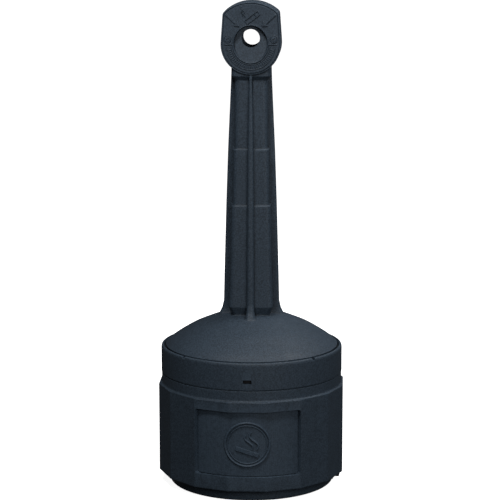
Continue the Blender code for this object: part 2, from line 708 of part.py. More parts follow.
def make_pail_body():
    bead_z = PAIL_TOP_Z + 0.0010
    bead = [(PAIL_TOP_RADIUS + BEAD_REACH * math.sin(a), bead_z + BEAD_REACH * math.cos(a))
            for a in (math.radians(d) for d in range(0, 181, 45))]
    above, below = PAIL_RIB_Z + 0.004, PAIL_RIB_Z - 0.004
    rib = [(pail_radius(above), above), (pail_radius(PAIL_RIB_Z) + 0.0015, PAIL_RIB_Z),
           (pail_radius(below), below)]
    inside = [(PAIL_BOTTOM_RADIUS - PAIL_WALL, PAIL_BOTTOM_Z),
              (PAIL_TOP_RADIUS - PAIL_WALL, PAIL_TOP_Z),
              (PAIL_TOP_RADIUS - PAIL_WALL, PAIL_TOP_Z + 0.0028)]
    profile = [*bead, (PAIL_TOP_RADIUS, PAIL_TOP_Z - 0.0025), *rib,
               (PAIL_BOTTOM_RADIUS, PAIL_BOTTOM_Z), *inside]
    body = turned("pail_body", profile, sides=PAIL_SIDES, ring=True)
    for side in (-1, 1):
        for across in (-1, 1):
            cut(body, rod(f"wall_hole_{side}_{across}", RIVET_HOLE_RADIUS, 0.02,
                          (side * pail_radius(RIVET_Z), across * RIVET_Y, RIVET_Z), "+X"))
    return keep(body, "galvanised_steel")


def make_pail_bottom():
    low, high = PAIL_BOTTOM_Z + 0.0030, PAIL_BOTTOM_Z + 0.0046
    edge = pail_radius(low) - PAIL_WALL - GAP - 0.0002
    disc = turned("pail_bottom", [(0.0, high), (edge, high), (edge, low), (0.0, low)],
                  sides=PAIL_SIDES)
    return keep(disc, "galvanised_steel")


def make_ear(side, label):
    """A cranked ear: its foot lies on the pail's wall and its eye stands outside the bead."""
    foot_low, foot_high = RIVET_Z - 0.013, RIVET_Z + 0.013
    rise_z, top_z = PAIL_TOP_Z - 0.0045, BAIL_Z + 0.012
    flat = GAP + 0.0001
    inner = [(pail_radius(foot_low) + flat, foot_low), (pail_radius(foot_high) + flat, foot_high),
             (EAR_X - EAR_THICKNESS / 2.0, rise_z), (EAR_X - EAR_THICKNESS / 2.0, top_z)]
    outer = [(x + EAR_THICKNESS, z) for x, z in reversed(inner)]
    ear = outline_solid(f"pail_ear_{label}", [(side * x, z) for x, z in inner + outer],
                        -EAR_HALF_WIDTH, EAR_HALF_WIDTH)
    for across in (-1, 1):
        cut(ear, rod(f"ear_rivet_hole_{label}_{across}", RIVET_HOLE_RADIUS, 0.02,
                     (side * pail_radius(RIVET_Z), across * RIVET_Y, RIVET_Z), "+X"))
    cut(ear, rod(f"ear_eye_{label}", EAR_HOLE_RADIUS, 0.02, (side * EAR_X, 0.0, BAIL_Z), "+X",
                 sides=24))
    return keep(ear, "galvanised_steel")


def rivet_mesh():
    """A rivet along Z: domed head above z = 0, tail head below the wall and the ear."""
    grip = PAIL_WALL + EAR_THICKNESS + 0.0020
    return evaluated_mesh(turned("rivet_blank", [
        (0.0, 0.0016), (0.0024, 0.0013), (0.0040, 0.0), (0.0021, 0.0), (0.0021, -grip),
        (0.0038, -grip), (0.0030, -grip - 0.0010), (0.0, -grip - 0.0012)],
        sides=SMALL_SIDES), "rivet")


def make_bail():
    """The wire lies towards the rear: two ends through the ears, a bow and a straight middle."""
    bend = math.acos((GRIP_HALF_LENGTH + 0.006) / BAIL_HALF_SPAN)
    arc = [(BAIL_HALF_SPAN * math.cos(bend * i / 18.0), BAIL_DEPTH * math.sin(bend * i / 18.0))
           for i in range(1, 19)]
    right = [(BAIL_END_X, 0.0), (BAIL_HALF_SPAN + 0.0020, 0.0), (BAIL_HALF_SPAN + 0.0004, 0.0012)]
    right += arc
    points = right + [(-x, y) for x, y in reversed(right)]
    curve = bpy.data.curves.new("bail_wire", "CURVE")
    curve.dimensions = "3D"
    curve.bevel_depth = BAIL_WIRE_RADIUS
    curve.bevel_resolution = 2
    curve.use_fill_caps = True
    spline = curve.splines.new("POLY")
    spline.points.add(len(points) - 1)
    for point, (x, y) in zip(spline.points, points):
        point.co = (x, y, 0.0, 1.0)
    wire = add_object("bail_wire", curve)
    wire.location = (0.0, 0.0, BAIL_Z)
    keep(wire, "galvanised_steel")
    grip_y = BAIL_DEPTH * math.sin(bend)
    crown = [(GRIP_RADIUS - 0.0016 * (step / 4.0) ** 2, GRIP_HALF_LENGTH * step / 4.0)
             for step in (4, 3, 2, 1, 0, -1, -2, -3, -4)]
    grip = turned("bail_grip", [(GRIP_RADIUS - 0.0032, GRIP_HALF_LENGTH + 0.0012), *crown,
                                (GRIP_RADIUS - 0.0032, -GRIP_HALF_LENGTH - 0.0012),
                                (GRIP_BORE, -GRIP_HALF_LENGTH - 0.0012),
                                (GRIP_BORE, GRIP_HALF_LENGTH + 0.0012)],
                  sides=24, ring=True)
    grip.location = (0.0, grip_y, BAIL_Z)
    grip.rotation_euler = TURN_TO["+X"]
    keep(grip, "black_plastic")
    return wire, grip


def make_pail():
    pieces = [make_pail_body(), make_pail_bottom()]
    rivet = rivet_mesh()
    for side, label in ((-1, "left"), (1, "right")):
        pieces.append(make_ear(side, label))
        for across, end in ((-1, "front"), (1, "rear")):
            out = pail_radius(RIVET_Z) + EAR_THICKNESS + 3.0 * GAP
            pieces.append(place_copy(f"ear_rivet_{label}_{end}", rivet,
                                     (side * out, across * RIVET_Y, RIVET_Z),
                                     TURN_TO["+X" if side > 0 else "-X"], "galvanised_steel"))
    return pieces


# ---------------------------------------------------------------- assembly
def make_bin():
    hood = [make_hood_shell(), *make_face_plates()]
    make_base_tub()
    latch_pieces, bolt = make_latch()
    make_anchor_tab()
    pail = make_pail()
    wire, grip = make_bail()
    joint_frame("hood_frame", (0.0, 0.0, COLLAR_LOW_Z), hood)
    pail_frame = joint_frame("pail_frame", (0.0, 0.0, PAIL_BOTTOM_Z), pail)
    bail_frame = joint_frame("bail_frame", (0.0, 0.0, BAIL_Z), [wire, grip])
    bail_frame.parent = pail_frame
    bail_frame.matrix_parent_inverse = pail_frame.matrix_world.inverted()
    joint_frame("latch_frame", (0.0, BOLT_NOSE_Y, LATCH_Z), [bolt])


clear_scene()
PARTS = new_collection("ashtray_bin")
CUTTERS = new_collection("cutters")
make_bin()
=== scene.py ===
"""Looks of the ashtray bin: moulded polyethylene hood, faces and tub, a galvanised pail, and a studio.

The mouldings are built as sharp solids, skinned with a fine grid and smoothed, so that every
inside corner has a fillet and every edge is soft. All sizes are metres, in the CAD model's frame:
the front faces -Y and the floor is z = 0.
"""

import math

import bmesh
import bpy
from mathutils import Matrix, Vector


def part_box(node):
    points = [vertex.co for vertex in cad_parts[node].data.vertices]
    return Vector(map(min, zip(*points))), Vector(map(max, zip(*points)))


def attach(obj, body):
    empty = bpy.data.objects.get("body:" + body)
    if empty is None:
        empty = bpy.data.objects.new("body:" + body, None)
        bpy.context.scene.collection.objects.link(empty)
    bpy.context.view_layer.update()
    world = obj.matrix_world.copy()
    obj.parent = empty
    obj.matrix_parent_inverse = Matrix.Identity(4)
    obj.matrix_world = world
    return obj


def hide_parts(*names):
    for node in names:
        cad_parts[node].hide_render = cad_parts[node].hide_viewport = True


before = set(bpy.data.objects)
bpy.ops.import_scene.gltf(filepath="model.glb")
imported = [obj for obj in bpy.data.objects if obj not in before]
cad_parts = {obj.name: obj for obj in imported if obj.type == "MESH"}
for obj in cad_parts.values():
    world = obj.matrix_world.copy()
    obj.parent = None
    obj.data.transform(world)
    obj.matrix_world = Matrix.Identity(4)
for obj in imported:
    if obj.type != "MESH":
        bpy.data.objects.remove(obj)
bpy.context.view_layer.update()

# ---------------------------------------------------------------- sizes
HOOD_LOW, HOOD_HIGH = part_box("hood_shell")
TUB_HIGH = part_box("base_tub")[1]
SKIN = 0.0002                   # how far the soft pieces stay inside the CAD model's box
PROUD = 0.004                   # how far a cutter runs past the face that it cuts
ROUND_SIDES = 240
HOOD_VOXEL = 0.0011
TUB_VOXEL = 0.0012
PLATE_VOXEL = 0.00045
MOST_TRIANGLES = 185000         # in one piece
SHARP_ANGLE = math.radians(50.0)
SOFT_PASSES = 3                 # of smoothing on the hood and the tub
CURVE_STEPS = 4                 # between two points of a smoothed profile
CORNER_STEPS = 6                # in a rounded corner
SQUARE_STEPS = 8                # in a corner of the neck
RING_SIDES = 96                 # of a large ring or oval
TINY = 1e-7                     # lengths below this count as nothing

# hood
COLLAR_RADIUS = HOOD_HIGH.x
COLLAR_LOW_Z = HOOD_LOW.z
COLLAR_WALL = 0.0045
COLLAR_INNER_RADIUS = COLLAR_RADIUS - COLLAR_WALL
COLLAR_ROOF_Z = 0.2728          # top of the straight wall inside the collar
COLLAR_LIP = 0.0016
GUTTER_Z = 0.2790
NOTCH_WIDTH = 0.0070
NOTCH_LENGTH = 0.0120
NOTCH_INNER_RADIUS = 0.1756
NOTCH_Z = (GUTTER_Z + 0.0002, GUTTER_Z + 0.0080)
DOME_PROFILE = (
    (0.0461, 0.3488), (0.0612, 0.3457), (0.0847, 0.3372), (0.0980, 0.3316), (0.1206, 0.3217),
    (0.1442, 0.3078), (0.1586, 0.2983), (0.1647, 0.2937), (0.1711, 0.2880), (0.1747, 0.2848),
)
DOME_STEPS = 5
BEAD_PROFILE = ((0.1790, 0.2841), (0.1814, 0.2840), (0.1832, 0.2824), (0.1840, 0.2788))
GUTTER_PROFILE = (
    (0.1745, 0.2900), (0.1745, 0.2843), (0.1728, 0.2802), (0.1733, GUTTER_Z),
    (0.1765, GUTTER_Z), (0.1774, 0.2812), (0.1790, 0.2840), (0.1800, 0.2900),
)
DOME_PEAK_Z = 0.3498
CAVITY_PROFILE = (
    (0.0461, 0.3448), (0.0612, 0.3414), (0.0847, 0.3327), (0.1207, 0.3169), (0.1443, 0.3027),
    (0.1608, 0.2904), (0.1699, 0.2783), (0.1774, 0.2748),
)
CAVITY_PEAK_Z = 0.3398
CORE_CORNER = 0.009
CORE_PROFILE = (
    (0.3312, 0.0364), (0.3473, 0.0368), (0.3664, 0.0444), (0.3986, 0.0430), (0.4438, 0.0417),
    (0.5726, 0.0394), (0.5732, 0.0367), (0.6858, 0.0359), (0.6864, 0.0330), (0.8505, 0.0325),
)
CHUTE_CORNER = 0.006
CHUTE_PROFILE = (
    (0.3111, 0.0327), (0.3594, 0.0327), (0.3755, 0.0387), (0.4438, 0.0377), (0.5659, 0.0356),
    (0.5749, 0.0323), (0.6781, 0.0320), (0.6881, 0.0285), (0.8653, 0.0284),
)
CAPITAL_PROFILE = ((0.8237, 0.0324), (0.8316, 0.0387), (0.8505, 0.0387))
FIN_PROFILE = (
    (0.3352, 0.0736, 0.0115), (0.3463, 0.0656, 0.0100), (0.3584, 0.0597, 0.0078),
    (0.3735, 0.0563, 0.0070), (0.4337, 0.0549, 0.0068), (0.5669, 0.0511, 0.0062),
    (0.6826, 0.0472, 0.0055), (0.8207, 0.0410, 0.0031), (0.8505, 0.0402, 0.0029),
)
FIN_ROOT = 0.020
FIN_BEVEL = 0.45                # share of a fin's half width that its outer edges lose

# head and its face plates
PLATE_SCREWS = [((low.x + high.x) / 2.0, (low.z + high.z) / 2.0)
                for low, high in (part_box("front_plate_screw_left"),
                                  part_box("front_plate_screw_right"))]
SCREW_HOLE_RADIUS = 0.0023
CAP_HEIGHT = 0.0016
CAP_CORNER = 0.0012
CAP_SHANK_RADIUS = 0.0019
CAP_SHANK_LENGTH = 0.0150
CAP_SIDES = 64
KEY_HALF_LENGTH = 0.0036
KEY_HALF_WIDTH = 0.0007
KEY_DEPTH = 0.0007
KEY_ANGLE = math.radians(35.0)
HEAD_Z = 0.8945
HEAD_RADIUS = 0.0594
HEAD_TAPER = math.radians(4.0)
HEAD_TOP_RADIUS = 0.0805
HEAD_TOP_Z = HOOD_HIGH.z - SKIN
HEAD_CORNER = 0.004
HEAD_HALF_DEPTH = 0.042
HEAD_WALL = 0.0045
HEAD_ARC_STEPS = 72
HEAD_TOP_STEPS = 40
PLATE_INSET = 0.0034
PLATE_GAP = 0.0006              # between the plate's edge and its pocket
SEAT_GAP = 0.0003               # between the plate's back and its seat
PLATE_BACK_Y = 0.0399
PLATE_FRONT_Y = 0.0435
LEDGE_INSET = 0.010
LEDGE_DEPTH = 0.0055
DISH_Z = 0.8955
DISH_HALF_WIDTH = 0.0324
DISH_HALF_HEIGHT = 0.0350
DISH_EDGE_DEPTH = 0.0012        # of the dish's sloping floor at its lowest point
DISH_SLOPE = math.tan(math.radians(9.0))
DISH_WALL = 0.003
DISH_FLARE = 0.0012             # how much wider the dish is at its mouth
THROAT_Z = 0.9063
THROAT_RADIUS = 0.0178
THROAT_BACK_Y = -0.005
BITE = 0.001                    # how far a raised shape reaches into the plate

# raised marks on the face plates
RELIEF = 0.0022                 # how far the tallest of them stand out
LINE_RELIEF = RELIEF * 0.8
BAND_RELIEF = RELIEF * 0.7
BOLD_LINE = 0.0012              # half widths of the raised lines
PLAIN_LINE = 0.0007
SLIM_LINE = 0.0006
FINE_LINE = 0.0005
LINE_SIDES = 8
RIM_MARGIN = 0.0024             # from the dish's edge to the line round it
BAND_CENTRE = (0.0, 0.8935)
BAND_INNER = 0.0386
BAND_OUTER = 0.0486
BAND_ARC = (184, 356)           # degrees, from +X towards +Z
BAND_END = 0.003                # how far the end lines run past the band
BAND_END_Z = DISH_Z - 0.001
BAND_STEPS = 60
TICKS = 29
TICK_START = 193.0              # degrees
TICK_STEP = 5.5
TICK_REACH = 0.0024
LONG_TICK_REACH = 0.0034        # of every fourth tick
ROUNDEL_RADIUS = 0.0070
ROUNDEL_SIDES = 32
ARROW_X = 0.0353
ARROW_Z = 0.9418
ARROW_AHEAD = (-0.74, -0.67)    # in (x, z), on the plate's right half
ARROW_LENGTH = 0.0360
ARROW_HALF_WIDTH = 0.0021
ARROW_TIP_LENGTH = ARROW_LENGTH * 0.27
ARROW_TIP_HALF_WIDTH = ARROW_HALF_WIDTH * 3.0
PICTOGRAM_ANGLE = math.radians(37.5)
PICTOGRAM_CENTRE = (0.0034, 0.9474)
PICTOGRAM_HALF_LENGTH = 0.0158
PICTOGRAM_HALF_WIDTH = 0.0044
PICTOGRAM_CORNER = 0.0008
PICTOGRAM_FILTER_X = PICTOGRAM_HALF_LENGTH * 0.45
PICTOGRAM_SMOKE = ((-0.0118, 0.9480, 0.9640), (-0.0162, 0.9500, 0.9690))    # x, low z, high z
PICTOGRAM_SMOKE_STEPS = 12
PICTOGRAM_SMOKE_LEAN = 0.0020
PICTOGRAM_SMOKE_SWAY = 0.0013

# base tub
FACETS = 16
FACET_APOTHEM = TUB_HIGH.x - SKIN
SHOULDER_Z = 0.2068
PLINTH_RADIUS = 0.1670
PLINTH_TOP_Z = 0.0250
PLINTH_HIDDEN_Z = 0.045         # where the plinth ends inside the tub
PLINTH_CHAMFER = 0.003
PLINTH_WALL = 0.006
FLOOR_Z = 0.0060
BAND_RADIUS = 0.1832
BAND_TOP_Z = 0.2285
SPIGOT_RADIUS = 0.1780
SPIGOT_TOP_Z = TUB_HIGH.z - SKIN
SPIGOT_WALL = 0.004
TUB_WALL = 0.0048
TUB_END_WALL = 0.004            # at the tub's shoulder and at its step to the plinth
RUN_IN = 0.02                   # how far one part of the tub runs into the next
PANEL_HALF_ANGLE = math.radians(33.5)
PANEL_RADIUS = 0.1815
PANEL_LOW_Z = 0.0540
PANEL_HIGH_Z = 0.1865
PANEL_CORNER = 0.005
PANEL_GROOVE = 0.0018           # width and depth of the line round the panel's floor
PANEL_CUT = 0.02                # how far the recess's cutter reaches outwards
BACKING_MARGIN = 0.004          # of the wall behind the panel, round its outline
BACKING_DEPTH = (-0.003, 0.004)     # from the panel's floor
LATCH_Z = 0.2465
SLOT_SIZE = (0.0170, 0.0084)
SLOT_CORNER = 0.0012
BOLT_WAY_SIZE = (0.0161, 0.0076)
BOLT_WAY_CORNER = 0.0008

# badge on the front panel: half widths and half heights of its raised strands
BADGE_SINK = 0.0004             # of its middle below the panel's floor
BADGE_RINGS = (("ring", 0.0440, 0.0024, 0.0038), ("inner", 0.0385, 0.0011, 0.0026))
BADGE_ANGLE = math.radians(-18.0)
BADGE_DROP = 0.0150             # of the cigarette below the badge's middle
BADGE_HALF_LENGTH = 0.0235
BADGE_HALF_WIDTH = 0.0042
BADGE_CORNER = 0.0012
BADGE_DEPTH = (-0.0032, 0.0010)
BADGE_EDGE = 0.0006
BADGE_TIP_X = 0.0145
BADGE_TIP_REACH = 0.0044
BADGE_TIP_WIDTH = 0.0007
BADGE_TIP_HEIGHT = 0.0037
BADGE_SMOKE = ((0.0180, 0.0062, 0.0360), (0.0080, 0.0052, 0.0300))      # start x, sway, rise
BADGE_SMOKE_DROP = 0.0105
BADGE_SMOKE_LEAN = 0.010
BADGE_SMOKE_STEPS = 28
BADGE_SMOKE_HEIGHT = 0.0030
BADGE_SMOKE_WIDTHS = (0.0004, 0.0021)       # least, and what the middle adds
BADGE_SMOKE_TAPER = (0.08, 0.9)             # where on a half wave the width starts, and its run

# anchor tab, modelled towards +X and then turned to its place
TAB_ANGLE = math.radians(84.0)  # from the front towards +X
TAB_BACK = 0.1673
TAB_THICKNESS = 0.003
TAB_HALF_WIDTH = 0.019
TAB_Z = (0.0085, 0.0195)
TAB_SCREW_Y = 0.0145
TAB_SCREW_Z = 0.0140
TAB_DRILL_RADIUS = 0.0023
TAB_HOLE_REACH = 0.1760
TAB_HOLE_RADIUS = 0.0034
LUG_Z = (0.0118, 0.0193)
LUG_HALF_WIDTH = 0.009
LUG_REACH = 0.1818
LUG_CORNER = 0.002
TAB_EDGE = 0.0006

# studio
FLOOR_RADIUS = 13.0
FLOOR_DEPTH = 0.02
FLOOR_GLOW = (0.92, 1.05)       # beside the object, and away from it
SKY_GLOW = (1.05, 1.05)
GLOW_REACH = (0.3, 1.5)         # the distances at which the two hold
SKY_RADIUS = 14.0
SKY_SIDES = 64
SKY_ARC = (88, -88, 40)         # from and to, in degrees, and its steps
ROOM_LIGHT = 0.045
AIM_Z = 0.45                    # the height on the axis that the lights face
LIGHTS = (                      # name, azimuth, elevation, distance, size, power
    ("key", -19.0, 58.0, 2.5, 0.6, 35.0),
    ("side", 92.0, 58.0, 2.5, 1.0, 31.0),
    ("fill", 22.0, 16.0, 2.6, 1.0, 19.0),
    ("back", 165.0, 30.0, 3.0, 1.6, 34.0),
)
CAMERA_DISTANCE = 4.0
CAMERA_HEIGHT = 1.2128
CAMERA_AZIMUTH = math.radians(2.75)
CAMERA_PITCH = math.radians(10.433)
CAMERA_SENSOR = 36.0
CAMERA_LENS = 144.68
CAMERA_SHIFT = -0.0032
CAMERA_REACH = 60.0


# ---------------------------------------------------------------- curves and outlines
def smooth_points(points, steps):
    """A curve through the points, with a number of steps between each two."""
    knots = [Vector(p) for p in points]
    knots = [knots[0] * 2.0 - knots[1], *knots, knots[-1] * 2.0 - knots[-2]]
    curve = []
    for a, b, c, d in zip(knots, knots[1:], knots[2:], knots[3:]):
        for i in range(steps):
            t = i / steps
            curve.append(((b * 2.0) + (c - a) * t + (a * 2.0 - b * 5.0 + c * 4.0 - d) * t * t
                          + (b * 3.0 - a - c * 3.0 + d) * t ** 3) * 0.5)
    curve.append(knots[-2])
    return [tuple(p) for p in curve]


def arc(centre, radius, start, end, steps):
    """Points of an arc in a plane, from one angle to another in degrees."""
    turn = [math.radians(start + (end - start) * i / steps) for i in range(steps + 1)]
    return [(centre[0] + radius * math.cos(a), centre[1] + radius * math.sin(a)) for a in turn]


def rounded_rectangle(half_width, half_height, corner, centre=(0.0, 0.0), steps=CORNER_STEPS):
    """Points of a rectangle with round corners."""
    points = []
    for start, side_x, side_y in ((0, 1, 1), (90, -1, 1), (180, -1, -1), (270, 1, -1)):
        middle = (centre[0] + side_x * (half_width - corner),
                  centre[1] + side_y * (half_height - corner))
        points += arc(middle, corner, start, start + 90, steps)
    return points


def turned_outline(outline, angle, centre):
    """The outline turned about the origin and moved to a centre."""
    cos, sin = math.cos(angle), math.sin(angle)
    return [(centre[0] + x * cos - y * sin, centre[1] + x * sin + y * cos) for x, y in outline]


def head_outline(inset):
    """The head seen from the front: a circle below, tapering sides and a shallower top arc."""
    radius = HEAD_RADIUS - inset
    top_radius = HEAD_TOP_RADIUS - inset
    top_centre = HEAD_TOP_Z - HEAD_TOP_RADIUS
    tangent = Vector((radius * math.cos(HEAD_TAPER), HEAD_Z + radius * math.sin(HEAD_TAPER)))
    side = Vector((-math.sin(HEAD_TAPER), math.cos(HEAD_TAPER)))
    offset = tangent - Vector((0.0, top_centre))
    along = -offset.dot(side) + math.sqrt(offset.dot(side) ** 2
                                          - offset.length_squared + top_radius ** 2)
    corner = tangent + side * along
    before = corner - side * HEAD_CORNER
    start_angle = math.atan2(corner.y - top_centre, corner.x) + HEAD_CORNER / top_radius
    after = Vector((top_radius * math.cos(start_angle),
                    top_centre + top_radius * math.sin(start_angle)))
    right = []
    for i in range(CORNER_STEPS):
        t = i / CORNER_STEPS
        right.append(before * (1.0 - t) ** 2 + corner * 2.0 * t * (1.0 - t) + after * t * t)
    top = arc((0.0, top_centre), top_radius, math.degrees(start_angle),
              180.0 - math.degrees(start_angle), HEAD_TOP_STEPS)
    taper = math.degrees(HEAD_TAPER)
    bottom = arc((0.0, HEAD_Z), radius, 180.0 - taper, 360.0 + taper, HEAD_ARC_STEPS)
    return [tuple(p) for p in right] + top + [(-p.x, p.y) for p in reversed(right)] + bottom


def rounded_squares(profile, corner):
    """Level rings with round corners, one for each (height, half width)."""
    return [[(x, y, z) for x, y in rounded_rectangle(half, half, corner, steps=SQUARE_STEPS)]
            for z, half in profile]


# ---------------------------------------------------------------- solids
def place(name, bm):
    """A new object from a closed mesh, with its faces turned outwards."""
    bmesh.ops.recalc_face_normals(bm, faces=bm.faces)
    mesh = bpy.data.meshes.new(name)
    bm.to_mesh(mesh)
    bm.free()
    item = bpy.data.objects.new(name, mesh)
    bpy.context.scene.collection.objects.link(item)
    return item


def revolve(name, profile, sides=ROUND_SIDES, closed=False):
    """Turn (radius, height) points about Z: from the axis and back to it, or a closed ring."""
    bm = bmesh.new()
    rings = []
    for radius, z in profile:
        count = sides if radius > TINY else 1
        rings.append([bm.verts.new((radius * math.cos(2.0 * math.pi * i / sides),
                                    radius * math.sin(2.0 * math.pi * i / sides), z))
                      for i in range(count)])
    pairs = list(zip(rings, rings[1:]))
    if closed:
        pairs.append((rings[-1], rings[0]))
    for upper, lower in pairs:
        for i in range(sides):
            j = (i + 1) % sides
            corners = (upper[i % len(upper)], upper[j % len(upper)],
                       lower[j % len(lower)], lower[i % len(lower)])
            corners = list(dict.fromkeys(corners))
            if len(corners) > 2:
                bm.faces.new(corners)
    return place(name, bm)


def loft(name, rings, closed=False):
    """A solid through rings of equal length, with its two ends closed or joined to each other."""
    bm = bmesh.new()
    levels = [[bm.verts.new(point) for point in ring] for ring in rings]
    pairs = list(zip(levels, levels[1:]))
    if closed:
        pairs.append((levels[-1], levels[0]))
    for lower, upper in pairs:
        for i in range(len(lower)):
            j = (i + 1) % len(lower)
            bm.faces.new((lower[i], lower[j], upper[j], upper[i]))
    if not closed:
        bm.faces.new(list(reversed(levels[0])))
        bm.faces.new(levels[-1])
    return place(name, bm)


def upright_prism(name, outline, low, high):
    """A flat outline in (x, z) made solid along Y."""
    return loft(name, [[(x, y, z) for x, z in outline] for y in (low, high)])


def level_prism(name, outline, low, high):
    """A flat outline in (x, y) made solid along Z."""
    return loft(name, [[(x, y, z) for x, y in outline] for z in (low, high)])


def brick(name, low, high):
    """A box between two corners."""
    outline = [(low[0], low[1]), (high[0], low[1]), (high[0], high[1]), (low[0], high[1])]
    return level_prism(name, outline, low[2], high[2])


def rod(name, radius, start, end, sides=48):
    """A round rod between two points."""
    start, end = Vector(start), Vector(end)
    turn = (end - start).to_track_quat("Z", "Y")
    ring = [turn @ Vector((radius * math.cos(2.0 * math.pi * i / sides),
                           radius * math.sin(2.0 * math.pi * i / sides), 0.0))
            for i in range(sides)]
    return loft(name, [[p + start for p in ring], [p + end for p in ring]])


def strand(name, path, widths, height, closed=False, sides=12):
    """A rounded strand along a path in (x, z), centred on y = 0: half widths and half height."""
    count = len(path)
    rings = []
    for i, ((x, z), width) in enumerate(zip(path, widths)):
        ahead = path[(i + 1) % count] if closed else path[min(i + 1, count - 1)]
        behind = path[(i - 1) % count] if closed else path[max(i - 1, 0)]
        along = (Vector(ahead) - Vector(behind)).normalized()
        ring = []
        for k in range(sides):
            a = 2.0 * math.pi * k / sides
            ring.append((x - along.y * width * math.cos(a), height * math.sin(a),
                         z + along.x * width * math.cos(a)))
        rings.append(ring)
    return loft(name, rings, closed)


def apply(item):
    """Put an object's modifiers and its place into its mesh."""
    bpy.context.view_layer.update()
    seen = item.evaluated_get(bpy.context.evaluated_depsgraph_get())
    mesh = bpy.data.meshes.new_from_object(seen)
    mesh.transform(item.matrix_world)
    old = item.data
    item.modifiers.clear()
    item.data = mesh
    item.matrix_world = Matrix.Identity(4)
    bpy.data.meshes.remove(old)
    return item


def combine(target, tools, operation):
    """Apply one boolean after another, and drop the tools."""
    for tool in tools:
        modifier = target.modifiers.new(operation.lower(), "BOOLEAN")
        modifier.operation = operation
        modifier.solver = "MANIFOLD"
        modifier.object = tool
    apply(target)
    for tool in tools:
        bpy.data.objects.remove(tool, do_unlink=True)
    return target


def add(target, *tools):
    return combine(target, tools, "UNION")


def cut(target, *tools):
    return combine(target, tools, "DIFFERENCE")


def gather(name, items):
    """Join separate closed solids into one object."""
    bm = bmesh.new()
    for item in items:
        bm.from_mesh(item.data)
        bpy.data.objects.remove(item, do_unlink=True)
    return place(name, bm)


def soften(item, voxel, passes):
    """Skin a solid with a fine grid, smooth it and thin it out to a set number of triangles."""
    skin = item.modifiers.new("skin", "REMESH")
    skin.mode = "VOXEL"
    skin.voxel_size = voxel
    smooth = item.modifiers.new("smooth", "SMOOTH")
    smooth.factor = 0.5
    smooth.iterations = passes
    apply(item)
    item.data.calc_loop_triangles()
    triangles = len(item.data.loop_triangles)
    if triangles > MOST_TRIANGLES:
        thin = item.modifiers.new("thin", "DECIMATE")
        thin.ratio = MOST_TRIANGLES / triangles
        apply(item)
    item.data.shade_smooth()
    return item


def round_edges(item, width, segments=3, angle=30.0):
    """Bevel the edges sharper than an angle and shade the piece smooth."""
    modifier = item.modifiers.new("edges", "BEVEL")
    modifier.width = width
    modifier.segments = segments
    modifier.limit_method = "ANGLE"
    modifier.angle_limit = math.radians(angle)
    modifier.harden_normals = True
    item.data.shade_smooth()
    apply(item)
    return item


# ---------------------------------------------------------------- materials
class Nodes:
    """A material's node tree, with short ways to add and join nodes; scales are per metre."""

    def __init__(self, name, roughness, metallic=0.0):
        self.material = bpy.data.materials.new(name)
        self.material.use_nodes = True
        self.tree = self.material.node_tree
        self.shader = self.tree.nodes["Principled BSDF"]
        self.shader.inputs["Roughness"].default_value = roughness
        self.shader.inputs["Metallic"].default_value = metallic
        self.coordinates = self.add("ShaderNodeTexCoord").outputs["Object"]

    def add(self, kind, **settings):
        node = self.tree.nodes.new(kind)
        for key, value in settings.items():
            setattr(node, key, value)
        return node

    def join(self, output, target):
        """Link an output socket to an input socket."""
        self.tree.links.new(output, target)

    def noise(self, scale, detail=2.0, roughness=0.5):
        node = self.add("ShaderNodeTexNoise")
        self.join(self.coordinates, node.inputs["Vector"])
        node.inputs["Scale"].default_value = scale
        node.inputs["Detail"].default_value = detail
        node.inputs["Roughness"].default_value = roughness
        return node.outputs["Fac"]

    def map(self, value, low, high, to_low, to_high):
        """Stretch one range of a value to another, clamped at both ends."""
        node = self.add("ShaderNodeMapRange")
        self.join(value, node.inputs["Value"])
        for key, number in (("From Min", low), ("From Max", high), ("To Min", to_low),
                            ("To Max", to_high)):
            node.inputs[key].default_value = number
        return node.outputs["Result"]

    def maths(self, operation, a, b):
        node = self.add("ShaderNodeMath", operation=operation)
        self.join(a, node.inputs[0])
        if isinstance(b, float):
            node.inputs[1].default_value = b
        else:
            self.join(b, node.inputs[1])
        return node.outputs["Value"]

    def ramp(self, value, stops):
        node = self.add("ShaderNodeValToRGB")
        self.join(value, node.inputs["Fac"])
        elements = node.color_ramp.elements
        while len(elements) < len(stops):
            elements.new(0.5)
        for element, (position, colour) in zip(elements, stops):
            element.position = position
            element.color = (*colour, 1.0)
        return node.outputs["Color"]

    def mix(self, factor, a, b):
        node = self.add("ShaderNodeMix", data_type="RGBA")
        self.join(factor, node.inputs[0])
        for socket, value in zip(node.inputs[6:8], (a, b)):
            if isinstance(value, tuple):
                socket.default_value = (*value, 1.0)
            else:
                self.join(value, socket)
        return node.outputs[2]

    def bump(self, height, distance, below=None):
        node = self.add("ShaderNodeBump")
        self.join(height, node.inputs["Height"])
        node.inputs["Distance"].default_value = distance
        if below is not None:
            self.join(below, node.inputs["Normal"])
        return node.outputs["Normal"]

    def finish(self, colour=None, roughness=None, normal=None):
        for key, value in (("Base Color", colour), ("Roughness", roughness), ("Normal", normal)):
            if value is not None:
                self.join(value, self.shader.inputs[key])
        return self.material


def shade(colour, factor):
    """The colour made darker or paler."""
    return tuple(c * factor for c in colour)


